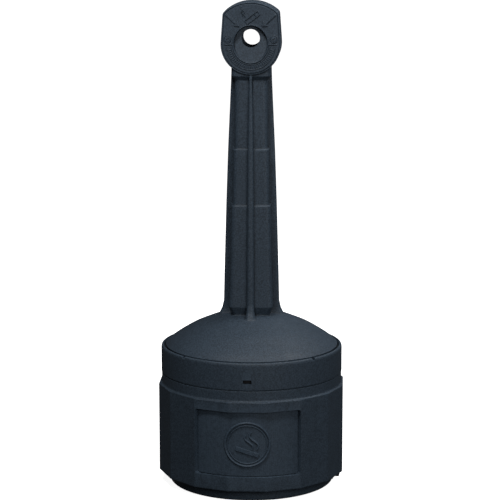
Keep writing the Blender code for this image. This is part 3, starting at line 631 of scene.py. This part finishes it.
def moulded_plastic(name, colour, roughness, grain=0.00020, crevice_shade=0.85):
    """Matt moulded plastic: fine grain, slow clouding, convex edges worn paler and given a painted
    highlight, and painted shade in crevices.
    """
    nodes = Nodes(name, roughness)
    nodes.shader.inputs["Specular IOR Level"].default_value = 0.32

    # slow clouds with pale specks over them
    cloud = nodes.map(nodes.noise(16.0, 4.0, 0.6), 0.3, 0.7, 0.0, 1.0)
    speck = nodes.map(nodes.noise(410.0, 3.0, 0.7), 0.42, 0.58, 0.0, 1.0)
    base = nodes.mix(cloud, shade(colour, 0.68), shade(colour, 0.80))
    base = nodes.mix(nodes.maths("MULTIPLY", speck, 0.8), base, shade(colour, 1.60))

    # worn, paler convex edges with a painted edge highlight, and painted shade that darkens inside
    # corners
    pointed = nodes.add("ShaderNodeNewGeometry").outputs["Pointiness"]
    # painted highlight: convex edges made paler, partly wear and partly light caught on the edges
    edge = nodes.map(pointed, 0.515, 0.56, 0.0, 0.55)
    rub_and_highlight = nodes.maths("MULTIPLY", edge, nodes.map(nodes.noise(120.0, 3.0), 0.35, 0.7, 0.3, 1.0))
    base = nodes.mix(rub_and_highlight, base, shade(colour, 1.9))
    # painted shade: inside corners and creases darkened where shade falls
    base = nodes.mix(nodes.map(pointed, 0.494, 0.455, 0.0, crevice_shade), base, shade(colour, 0.2))

    # uneven sheen, a moulded grain and a slight waviness
    sheen = nodes.maths("ADD", nodes.map(nodes.noise(60.0, 3.0), 0.3, 0.7, -0.05, 0.05),
                        roughness)
    pebbles = nodes.bump(nodes.noise(620.0, 3.0, 0.55), grain)
    surface = nodes.bump(nodes.noise(7.0, 2.0), 0.0006, below=pebbles)
    return nodes.finish(base, sheen, surface)


def galvanised(name):
    """Hot-dipped zinc: flat crystals of spangle in slightly different greys, dulled in places."""
    nodes = Nodes(name, 0.42, 1.0)
    cells = nodes.add("ShaderNodeTexVoronoi")
    nodes.join(nodes.coordinates, cells.inputs["Vector"])
    cells.inputs["Scale"].default_value = 95.0
    grey = nodes.add("ShaderNodeSeparateColor")
    nodes.join(cells.outputs["Color"], grey.inputs["Color"])
    spangle = grey.outputs["Red"]
    colour = nodes.ramp(spangle, ((0.0, (0.36, 0.38, 0.40)), (0.5, (0.46, 0.48, 0.50)),
                                  (1.0, (0.58, 0.60, 0.62))))
    dull = nodes.map(nodes.noise(9.0, 4.0, 0.65), 0.45, 0.75, 0.0, 0.6)
    colour = nodes.mix(dull, colour, (0.34, 0.35, 0.36))
    rough = nodes.maths("ADD", nodes.map(spangle, 0.0, 1.0, 0.30, 0.46),
                        nodes.map(nodes.noise(9.0, 4.0, 0.65), 0.45, 0.75, 0.0, 0.15))
    surface = nodes.bump(nodes.noise(220.0, 3.0), 0.00004)
    return nodes.finish(colour, rough, surface)


def brushed_steel(name, colour, roughness):
    """Plated steel with faint turning marks and darker patches."""
    nodes = Nodes(name, roughness, 1.0)
    patch = nodes.map(nodes.noise(260.0, 4.0, 0.6), 0.35, 0.7, 0.0, 1.0)
    base = nodes.mix(patch, shade(colour, 0.80), shade(colour, 1.10))
    rough = nodes.map(nodes.noise(900.0, 2.0), 0.3, 0.7, roughness - 0.06, roughness + 0.08)
    surface = nodes.bump(nodes.noise(1800.0, 2.0), 0.00002)
    return nodes.finish(base, rough, surface)


def coated_steel(name, colour, roughness):
    """Powder coat: a low orange peel and a little dust."""
    nodes = Nodes(name, roughness)
    dust = nodes.map(nodes.noise(40.0, 5.0, 0.7), 0.5, 0.8, 0.0, 0.35)
    base = nodes.mix(dust, colour, shade(colour, 3.0))
    rough = nodes.map(nodes.noise(300.0, 3.0), 0.3, 0.7, roughness - 0.05, roughness + 0.08)
    surface = nodes.bump(nodes.noise(700.0, 2.0), 0.00006)
    return nodes.finish(base, rough, surface)


CHARCOAL = (0.0264, 0.0394, 0.0556)
PLASTIC = moulded_plastic("charcoal_polyethylene_grain", CHARCOAL, 0.58)
# this plastic has no painted crevice shade
TUB_PLASTIC = moulded_plastic("charcoal_polyethylene_tub", CHARCOAL, 0.58, crevice_shade=0.0)
# painted highlight: the badge's plastic is a paler copy of the panel's, so the raised relief reads as
# lit
PALER_RELIEF_PLASTIC = moulded_plastic("charcoal_polyethylene_relief_painted_paler", shade(CHARCOAL, 1.25), 0.50,
                                 0.00005)
BLACK_PLASTIC = moulded_plastic("black_acetal", (0.006, 0.006, 0.007), 0.45, 0.00004)
ZINC = galvanised("spangled_zinc")
DARK_STEEL = brushed_steel("black_oxide_steel", (0.060, 0.064, 0.070), 0.38)
BRIGHT_STEEL = brushed_steel("zinc_plated_steel", (0.52, 0.53, 0.55), 0.28)
BLACK_STEEL = coated_steel("black_powder_coat", (0.010, 0.010, 0.011), 0.45)


def dress(item, material, body, slot, *nodes):
    """Give a piece its material and body, and hide the CAD nodes that it stands for; the slot argument
    is not used.
    """
    item.data.materials.clear()
    item.data.materials.append(material)
    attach(item, body)
    if nodes:
        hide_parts(*nodes)
    return item


# ---------------------------------------------------------------- hood
def fin(index):
    """One of the four upright fins, which thins and draws in as it rises."""
    rings = []
    for z, reach, half in FIN_PROFILE:
        edge = half * FIN_BEVEL
        rings.append([(FIN_ROOT, -half, z), (reach - edge, -half, z), (reach, -half + edge, z),
                      (reach, half - edge, z), (reach - edge, half, z), (FIN_ROOT, half, z)])
    turn = Matrix.Rotation(index * math.pi / 2.0, 3, "Z")
    return loft(f"fin_{index}", [[turn @ Vector(p) for p in ring] for ring in rings])


def drain_notch(index):
    """A cutter for one of the four notches in the gutter's bead, midway between two fins."""
    notch = brick(f"notch_{index}", (-NOTCH_WIDTH / 2.0, NOTCH_INNER_RADIUS, NOTCH_Z[0]),
                  (NOTCH_WIDTH / 2.0, NOTCH_INNER_RADIUS + NOTCH_LENGTH, NOTCH_Z[1]))
    notch.data.transform(Matrix.Rotation(math.radians(45.0 + 90.0 * index), 4, "Z"))
    return notch


def latch_opening(name, size, corner, low, high):
    """A cutter with the latch's rounded outline, between two depths in Y."""
    outline = rounded_rectangle(size[0] / 2.0, size[1] / 2.0, corner, (0.0, LATCH_Z))
    return upright_prism(name, outline, low, high)


def make_hood():
    """Head housing, neck, fins, dome, gutter and collar: one hollow moulding."""
    dome = smooth_points(DOME_PROFILE, DOME_STEPS)
    bead = smooth_points(BEAD_PROFILE, CURVE_STEPS)
    lip = arc((COLLAR_RADIUS - COLLAR_LIP, COLLAR_LOW_Z + COLLAR_LIP), COLLAR_LIP, 0, -90,
              CORNER_STEPS)
    shell = revolve("hood_moulding", [(0.0, DOME_PEAK_Z), *dome, *bead, *lip,
                                      (0.0, COLLAR_LOW_Z)])
    head = upright_prism("head_block", head_outline(0.0), -HEAD_HALF_DEPTH, HEAD_HALF_DEPTH)
    core = loft("core", rounded_squares(CORE_PROFILE, CORE_CORNER))
    capital = loft("capital", rounded_squares(CAPITAL_PROFILE, CORE_CORNER))
    add(shell, core, *[fin(i) for i in range(4)], capital, head)

    cavity = revolve("cavity", [(0.0, CAVITY_PEAK_Z), *smooth_points(CAVITY_PROFILE, CURVE_STEPS),
                                (COLLAR_INNER_RADIUS, COLLAR_ROOF_Z),
                                (COLLAR_INNER_RADIUS, COLLAR_LOW_Z - PROUD),
                                (0.0, COLLAR_LOW_Z - PROUD)])
    chute = loft("chute", rounded_squares(CHUTE_PROFILE, CHUTE_CORNER))
    seat_y = PLATE_BACK_Y - SEAT_GAP
    room_y = seat_y - LEDGE_DEPTH
    room = upright_prism("room", head_outline(HEAD_WALL), -room_y, room_y)
    passage = upright_prism("passage", head_outline(LEDGE_INSET), -seat_y - PROUD,
                            seat_y + PROUD)
    pockets = [upright_prism("pocket", head_outline(PLATE_INSET - PLATE_GAP), low, high)
               for low, high in ((-HEAD_HALF_DEPTH - PROUD, -seat_y),
                                 (seat_y, HEAD_HALF_DEPTH + PROUD))]
    cut(shell, cavity, chute, room, passage, *pockets)
    soften(shell, HOOD_VOXEL, SOFT_PASSES)
    gutter = revolve("gutter", GUTTER_PROFILE, closed=True)
    slot = latch_opening("slot", SLOT_SIZE, SLOT_CORNER, -COLLAR_RADIUS - PROUD,
                         -COLLAR_INNER_RADIUS + PROUD)
    cut(shell, gutter, slot, *[drain_notch(i) for i in range(4)])
    shell.data.set_sharp_from_angle(angle=SHARP_ANGLE)
    return dress(shell, PLASTIC, "hood", "charcoal_plastic", "hood_shell")


# ---------------------------------------------------------------- face plates
def dish_floor(z):
    """Depth in Y of the dish's floor, a plane that slopes inwards as it rises."""
    low = DISH_Z - DISH_HALF_HEIGHT
    return -PLATE_FRONT_Y + DISH_EDGE_DEPTH + DISH_SLOPE * (z - low)


def oval(grow):
    """The dish's outline in (x, z), grown by a margin."""
    turn = [2.0 * math.pi * i / RING_SIDES for i in range(RING_SIDES)]
    return [((DISH_HALF_WIDTH + grow) * math.cos(a),
             DISH_Z + (DISH_HALF_HEIGHT + grow) * math.sin(a)) for a in turn]


def dish_solid(name, grow_front, front_y, grow_back, sink):
    """From a flat oval at the front to one that lies on the dish's floor or behind it."""
    return loft(name, [[(x, front_y, z) for x, z in oval(grow_front)],
                       [(x, dish_floor(z) + sink, z) for x, z in oval(grow_back)]])


def arrow(side):
    """A raised arrow that points at the dish."""
    ahead = Vector((side * ARROW_AHEAD[0], ARROW_AHEAD[1])).normalized()
    across = Vector((-ahead.y, ahead.x))
    half = ARROW_LENGTH / 2.0
    neck = half - ARROW_TIP_LENGTH
    corners = ((half, 0.0), (neck, ARROW_TIP_HALF_WIDTH), (neck, ARROW_HALF_WIDTH),
               (-half, ARROW_HALF_WIDTH), (-half, -ARROW_HALF_WIDTH),
               (neck, -ARROW_HALF_WIDTH), (neck, -ARROW_TIP_HALF_WIDTH))
    outline = [tuple(Vector((side * ARROW_X, ARROW_Z)) + ahead * a + across * b)
               for a, b in corners]
    return upright_prism("arrow", outline, -PLATE_FRONT_Y - RELIEF, -PLATE_FRONT_Y + BITE)


def raised_line(path, width=PLAIN_LINE, height=RELIEF, closed=False):
    """A rounded line along a path on the plate's face."""
    line = strand("line", path, [width] * len(path), height, closed, LINE_SIDES)
    line.data.transform(Matrix.Translation((0.0, -PLATE_FRONT_Y, 0.0)))
    return line


def pictogram():
    """A cigarette in outline with two curls of smoke, in raised lines."""
    body = rounded_rectangle(PICTOGRAM_HALF_LENGTH, PICTOGRAM_HALF_WIDTH, PICTOGRAM_CORNER, steps=3)
    band = [(PICTOGRAM_FILTER_X, -PICTOGRAM_HALF_WIDTH), (PICTOGRAM_FILTER_X, PICTOGRAM_HALF_WIDTH)]
    lines = [raised_line(turned_outline(body, PICTOGRAM_ANGLE, PICTOGRAM_CENTRE), closed=True),
             raised_line(turned_outline(band, PICTOGRAM_ANGLE, PICTOGRAM_CENTRE), FINE_LINE)]
    for x, low, high in PICTOGRAM_SMOKE:
        wave = []
        for i in range(PICTOGRAM_SMOKE_STEPS + 1):
            t = i / PICTOGRAM_SMOKE_STEPS
            sway = PICTOGRAM_SMOKE_SWAY * math.sin(4.0 * math.pi * t)
            wave.append((x - PICTOGRAM_SMOKE_LEAN * t + sway, low + (high - low) * t))
        lines.append(raised_line(wave, SLIM_LINE))
    return lines


def ring_band():
    """Two fine arcs round the dish's lower half with a row of plain ticks between them."""
    lines = [raised_line(arc(BAND_CENTRE, radius, *BAND_ARC, BAND_STEPS), FINE_LINE, BAND_RELIEF)
             for radius in (BAND_INNER, BAND_OUTER)]
    middle = (BAND_INNER + BAND_OUTER) / 2.0
    for i in range(TICKS):
        a = math.radians(TICK_START + TICK_STEP * i)
        reach = TICK_REACH if i % 4 else LONG_TICK_REACH
        outwards = Vector((math.cos(a), math.sin(a)))
        ends = [Vector(BAND_CENTRE) + outwards * (middle + s * reach) for s in (-1.0, 1.0)]
        lines.append(raised_line([tuple(p) for p in ends], PLAIN_LINE, BAND_RELIEF))
    for side in (-1, 1):
        lines.append(raised_line([(side * (BAND_INNER - BAND_END), BAND_END_Z),
                                  (side * (BAND_OUTER + BAND_END), BAND_END_Z)], SLIM_LINE))
    return lines


def make_face_plate():
    """The dished plate that faces -Y."""
    plate = upright_prism("face_moulding", head_outline(PLATE_INSET + SKIN), -PLATE_FRONT_Y,
                          -PLATE_BACK_Y)
    add(plate, dish_solid("dish_back", DISH_WALL, -PLATE_BACK_Y - BITE, DISH_WALL - BITE,
                          DISH_WALL))
    marks = [arrow(side) for side in (-1, 1)] + pictogram() + ring_band()
    marks.append(raised_line(oval(RIM_MARGIN), BOLD_LINE, LINE_RELIEF, closed=True))
    for x, z in PLATE_SCREWS:
        ring = arc((x, z), ROUNDEL_RADIUS, 0, 360, ROUNDEL_SIDES)[:-1]
        marks.append(raised_line(ring, PLAIN_LINE, LINE_RELIEF, closed=True))
    add(plate, *marks)
    holes = [rod("drill", SCREW_HOLE_RADIUS, (x, -PLATE_FRONT_Y - PROUD, z),
                 (x, -PLATE_BACK_Y + PROUD, z)) for x, z in PLATE_SCREWS]
    throat = rod("throat", THROAT_RADIUS, (0.0, -PLATE_FRONT_Y - PROUD, THROAT_Z),
                 (0.0, THROAT_BACK_Y, THROAT_Z), RING_SIDES)
    dish = dish_solid("dish", DISH_FLARE, -PLATE_FRONT_Y - PROUD, 0.0, 0.0)
    cut(plate, dish, throat, *holes)
    return soften(plate, PLATE_VOXEL, 1)


def turned_about(item, name):
    """A copy of a piece, turned half round the vertical axis."""
    twin = bpy.data.objects.new(name, item.data.copy())
    twin.data.transform(Matrix.Rotation(math.pi, 4, "Z"))
    bpy.context.scene.collection.objects.link(twin)
    return twin


def make_plate_cap(node, facing):
    """A low domed plastic cap over the screw, with a shallow key slot, in the plate's roundel."""
    low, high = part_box(node)
    x, z = (low.x + high.x) / 2.0, (low.z + high.z) / 2.0
    radius = (high.x - low.x) / 2.0
    brow = arc((radius - CAP_CORNER, CAP_HEIGHT - CAP_CORNER), CAP_CORNER, 90, 0, 5)
    cap = revolve(node + "_cap", [(0.0, CAP_HEIGHT), *brow, (radius, 0.0), (CAP_SHANK_RADIUS, 0.0),
                                  (CAP_SHANK_RADIUS, -CAP_SHANK_LENGTH),
                                  (0.0, -CAP_SHANK_LENGTH)], CAP_SIDES)
    key = brick("key_slot", (-KEY_HALF_LENGTH, -KEY_HALF_WIDTH, CAP_HEIGHT - KEY_DEPTH),
                (KEY_HALF_LENGTH, KEY_HALF_WIDTH, PROUD))
    key.data.transform(Matrix.Rotation(KEY_ANGLE, 4, "Z"))
    cut(cap, key)
    seat = (high.y - CAP_HEIGHT) if facing > 0 else (low.y + CAP_HEIGHT)
    turn = Matrix.Rotation(-facing * math.pi / 2.0, 4, "X")
    cap.data.transform(Matrix.Translation((x, seat, z)) @ turn)
    round_edges(cap, 0.0002, 2, 40.0)
    return dress(cap, PLASTIC, "hood", "charcoal_plastic", node)


def make_faces():
    """Both face plates and the caps on their screws."""
    front = make_face_plate()
    rear = turned_about(front, "rear_face_moulding")
    front.name = "front_face_moulding"
    dress(front, PLASTIC, "hood", "charcoal_plastic", "front_face_plate")
    dress(rear, PLASTIC, "hood", "charcoal_plastic", "rear_face_plate")
    for face, facing in (("front", -1), ("rear", 1)):
        for side in ("left", "right"):
            make_plate_cap(f"{face}_plate_screw_{side}", facing)


# ---------------------------------------------------------------- base tub
def facet_prism(name, apothem, low, high):
    """A regular prism about Z with a flat side facing the front."""
    radius = apothem / math.cos(math.pi / FACETS)
    outline = [(radius * math.cos(math.pi * (2 * i + 1) / FACETS),
                radius * math.sin(math.pi * (2 * i + 1) / FACETS)) for i in range(FACETS)]
    return level_prism(name, outline, low, high)


def drum(name, radius, low, high):
    """A round solid about Z."""
    return revolve(name, [(0.0, high), (radius, high), (radius, low), (0.0, low)])


def wrap(item, radius, step=0.004):
    """Bend a flat solid, made in (x, z) about y = 0, round the front of a cylinder."""
    bm = bmesh.new()
    bm.from_mesh(item.data)
    xs = [v.co.x for v in bm.verts]
    count = int((max(xs) - min(xs)) / step)
    for i in range(1, count):
        x = min(xs) + (max(xs) - min(xs)) * i / count
        bmesh.ops.bisect_plane(bm, geom=[*bm.verts, *bm.edges, *bm.faces],
                               plane_co=(x, 0.0, 0.0), plane_no=(1.0, 0.0, 0.0), dist=TINY)
    for v in bm.verts:
        reach = radius - v.co.y
        angle = v.co.x / radius
        v.co = Vector((reach * math.sin(angle), -reach * math.cos(angle), v.co.z))
    bm.to_mesh(item.data)
    bm.free()
    return item


def panel_solid(name, margin, low, high):
    """The front panel's rounded outline, wrapped round the tub between two depths."""
    middle = (PANEL_LOW_Z + PANEL_HIGH_Z) / 2.0
    outline = rounded_rectangle(PANEL_HALF_ANGLE * PANEL_RADIUS + margin,
                                (PANEL_HIGH_Z - PANEL_LOW_Z) / 2.0 + margin,
                                PANEL_CORNER + margin, (0.0, middle))
    return wrap(upright_prism(name, outline, low, high), PANEL_RADIUS)


def make_tub():
    """Faceted tub, plinth, round band and spigot, with the recessed front panel."""
    tub = facet_prism("tub_moulding", FACET_APOTHEM, PLINTH_TOP_Z, SHOULDER_Z)
    foot = revolve("plinth", [(0.0, PLINTH_HIDDEN_Z), (PLINTH_RADIUS, PLINTH_HIDDEN_Z),
                              (PLINTH_RADIUS, PLINTH_CHAMFER),
                              (PLINTH_RADIUS - PLINTH_CHAMFER, SKIN), (0.0, SKIN)])
    add(tub, foot, drum("band", BAND_RADIUS, SHOULDER_Z - RUN_IN, BAND_TOP_Z),
        drum("spigot", SPIGOT_RADIUS, SHOULDER_Z - RUN_IN, SPIGOT_TOP_Z))
    cut(tub, facet_prism("tub_room", FACET_APOTHEM - TUB_WALL, PLINTH_TOP_Z + TUB_END_WALL,
                         SHOULDER_Z - TUB_END_WALL),
        drum("tub_mouth", SPIGOT_RADIUS - SPIGOT_WALL, SHOULDER_Z - RUN_IN, SPIGOT_TOP_Z + PROUD),
        drum("plinth_room", PLINTH_RADIUS - PLINTH_WALL, FLOOR_Z, PLINTH_TOP_Z + RUN_IN))
    add(tub, panel_solid("backing", BACKING_MARGIN, *BACKING_DEPTH))
    soften(tub, TUB_VOXEL, SOFT_PASSES)
    bolt_way = latch_opening("bolt_way", BOLT_WAY_SIZE, BOLT_WAY_CORNER, -SPIGOT_RADIUS - PROUD,
                             -SPIGOT_RADIUS + 2.0 * PROUD)
    groove = cut(panel_solid("groove", 0.0, -PANEL_GROOVE, PANEL_GROOVE),
                 panel_solid("island", -PANEL_GROOVE, -PROUD, PROUD))
    cut(tub, panel_solid("recess", 0.0, -PANEL_CUT, 0.0), groove, bolt_way)
    tub.data.set_sharp_from_angle(angle=SHARP_ANGLE)
    return dress(tub, TUB_PLASTIC, "base", "charcoal_plastic", "base_tub")


def make_badge():
    """A plain raised ring with a cigarette and smoke, moulded on the front panel."""
    middle = (PANEL_LOW_Z + PANEL_HIGH_Z) / 2.0
    items = []
    for name, radius, width, height in BADGE_RINGS:
        ring = arc((0.0, middle), radius, 0, 360, RING_SIDES)[:-1]
        items.append(strand(name, ring, [width] * len(ring), height, True))
    centre = (0.0, middle - BADGE_DROP)
    body = rounded_rectangle(BADGE_HALF_LENGTH, BADGE_HALF_WIDTH, BADGE_CORNER)
    cigarette = upright_prism("cigarette", turned_outline(body, BADGE_ANGLE, centre), *BADGE_DEPTH)
    tip = [(BADGE_TIP_X, -BADGE_TIP_REACH), (BADGE_TIP_X, BADGE_TIP_REACH)]
    items += [round_edges(cigarette, BADGE_EDGE, 2),
              strand("tip", turned_outline(tip, BADGE_ANGLE, centre), [BADGE_TIP_WIDTH] * 2,
                     BADGE_TIP_HEIGHT)]
    for start, sway, rise in BADGE_SMOKE:
        path, widths = [], []
        for i in range(BADGE_SMOKE_STEPS + 1):
            t = i / BADGE_SMOKE_STEPS
            path.append((start - BADGE_SMOKE_LEAN * t + sway * math.sin(2.0 * math.pi * t),
                         middle - BADGE_SMOKE_DROP + rise * t))
            swell = math.sin(math.pi * (BADGE_SMOKE_TAPER[0] + BADGE_SMOKE_TAPER[1] * t))
            widths.append(BADGE_SMOKE_WIDTHS[0] + BADGE_SMOKE_WIDTHS[1] * swell)
        items.append(strand("smoke", path, widths, BADGE_SMOKE_HEIGHT))
    badge = wrap(gather("panel_badge", items), PANEL_RADIUS - BADGE_SINK)
    badge.data.shade_smooth()
    return dress(badge, PALER_RELIEF_PLASTIC, "base", "charcoal_plastic")


def make_anchor_tab():
    """A bent steel tab: a strap on the plinth with a rounded lug that stands out from it."""
    strap = brick("anchor_strap", (TAB_BACK, -TAB_HALF_WIDTH, TAB_Z[0]),
                  (TAB_BACK + TAB_THICKNESS, TAB_HALF_WIDTH, TAB_Z[1]))
    tip = LUG_REACH - LUG_CORNER
    side = LUG_HALF_WIDTH - LUG_CORNER
    outline = [(TAB_BACK + TAB_THICKNESS / 2.0, -LUG_HALF_WIDTH),
               *arc((tip, -side), LUG_CORNER, -90, 0, CORNER_STEPS),
               *arc((tip, side), LUG_CORNER, 0, 90, CORNER_STEPS),
               (TAB_BACK + TAB_THICKNESS / 2.0, LUG_HALF_WIDTH)]
    add(strap, level_prism("lug", outline, *LUG_Z))
    drills = [rod("drill", TAB_DRILL_RADIUS, (TAB_BACK - PROUD, y, TAB_SCREW_Z),
                  (TAB_BACK + TAB_THICKNESS + PROUD, y, TAB_SCREW_Z))
              for y in (-TAB_SCREW_Y, TAB_SCREW_Y)]
    cut(strap, rod("eye", TAB_HOLE_RADIUS, (TAB_HOLE_REACH, 0.0, LUG_Z[0] - PROUD),
                   (TAB_HOLE_REACH, 0.0, LUG_Z[1] + PROUD)), *drills)
    round_edges(strap, TAB_EDGE)
    strap.data.transform(Matrix.Rotation(TAB_ANGLE - math.pi / 2.0, 4, "Z"))
    return dress(strap, BLACK_STEEL, "base", "black_steel", "anchor_tab")


# ---------------------------------------------------------------- pieces kept from the CAD model
def dress_kept(names, material):
    """Give CAD nodes that stay as they are a worked material."""
    for name in names:
        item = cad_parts[name]
        for slot in item.material_slots:
            slot.material = material
        if not item.material_slots:
            item.data.materials.append(material)


def make_kept():
    """Plastic, steel and zinc on the latch, the anchor screws and the pail."""
    dress_kept(("latch_housing", "latch_bolt", "bail_grip"), BLACK_PLASTIC)
    dress_kept(("latch_screw_left", "latch_screw_right"), BRIGHT_STEEL)
    dress_kept(("anchor_screw_front", "anchor_screw_rear"), DARK_STEEL)
    dress_kept(("pail_body", "pail_bottom", "pail_ear_left", "pail_ear_right", "bail_wire",
                "ear_rivet_left_front", "ear_rivet_left_rear", "ear_rivet_right_front",
                "ear_rivet_right_rear"), ZINC)


# ---------------------------------------------------------------- studio
def hide_from_light(item):
    """Seen by the camera only, so that it neither lights nor reflects in the object."""
    item.visible_diffuse = False
    item.visible_glossy = False
    item.visible_transmission = False
    item.visible_volume_scatter = False
    item.visible_shadow = False


def glowing(name, near, far):
    """A white surface with light of its own, a little less of it close to the object."""
    nodes = Nodes(name, 0.9)
    nodes.shader.inputs["Base Color"].default_value = (0.9, 0.9, 0.9, 1.0)
    nodes.shader.inputs["Emission Color"].default_value = (1.0, 1.0, 1.0, 1.0)
    distance = nodes.add("ShaderNodeVectorMath", operation="LENGTH")
    nodes.join(nodes.coordinates, distance.inputs[0])
    strength = nodes.map(distance.outputs["Value"], *GLOW_REACH, near, far)
    nodes.join(strength, nodes.shader.inputs["Emission Strength"])
    return nodes.finish()


def make_studio():
    """A pale round floor inside a pale sphere."""
    rim = arc((0.0, 0.0), FLOOR_RADIUS, 0, 360, RING_SIDES)[:-1]
    floor = level_prism("studio_floor", rim, -FLOOR_DEPTH, 0.0)
    floor.data.materials.append(glowing("pale_floor", *FLOOR_GLOW))
    hide_from_light(floor)
    sky = revolve("studio_sky", [(0.0, SKY_RADIUS), *arc((0.0, 0.0), SKY_RADIUS, *SKY_ARC),
                                 (0.0, -SKY_RADIUS)], SKY_SIDES)
    sky.data.flip_normals()
    sky.data.materials.append(glowing("pale_backdrop", *SKY_GLOW))
    hide_from_light(sky)


def make_light(name, azimuth, elevation, distance, size, power):
    """A square soft light that faces the object; azimuth 0 is the front, 90 the right."""
    data = bpy.data.lights.new(name, "AREA")
    data.shape = "SQUARE"
    data.size = size
    data.energy = power
    lamp = bpy.data.objects.new(name, data)
    bpy.context.scene.collection.objects.link(lamp)
    a, e = math.radians(azimuth), math.radians(elevation)
    back = Vector((math.sin(a) * math.cos(e), -math.cos(a) * math.cos(e), math.sin(e)))
    lamp.location = Vector((0.0, 0.0, AIM_Z)) + back * distance
    lamp.rotation_euler = back.to_track_quat("Z", "Y").to_euler()
    return lamp


def make_lights():
    """The soft lights; the one behind leaves no highlight of its own."""
    lamps = {light[0]: make_light(*light) for light in LIGHTS}
    lamps["back"].visible_glossy = False


def make_world():
    """An even, faint light from all round."""
    world = bpy.data.worlds.new("soft_room")
    world.use_nodes = True
    background = world.node_tree.nodes["Background"]
    background.inputs["Color"].default_value = (1.0, 1.0, 1.0, 1.0)
    background.inputs["Strength"].default_value = ROOM_LIGHT
    bpy.context.scene.world = world


def make_camera():
    """A long lens a little to the right of the front, looking slightly down."""
    data = bpy.data.cameras.new("camera")
    data.sensor_width = CAMERA_SENSOR
    data.lens = CAMERA_LENS
    data.shift_x = CAMERA_SHIFT
    data.clip_end = CAMERA_REACH
    camera = bpy.data.objects.new("camera", data)
    bpy.context.scene.collection.objects.link(camera)
    camera.location = (CAMERA_DISTANCE * math.sin(CAMERA_AZIMUTH),
                       -CAMERA_DISTANCE * math.cos(CAMERA_AZIMUTH), CAMERA_HEIGHT)
    camera.rotation_euler = (math.pi / 2.0 - CAMERA_PITCH, 0.0, CAMERA_AZIMUTH)
    bpy.context.scene.camera = camera


# ---------------------------------------------------------------- assembly
make_hood()
make_faces()
make_tub()
make_badge()
make_anchor_tab()
make_kept()
make_studio()
make_world()
make_lights()
make_camera()
bpy.context.scene.view_settings.view_transform = "Standard"
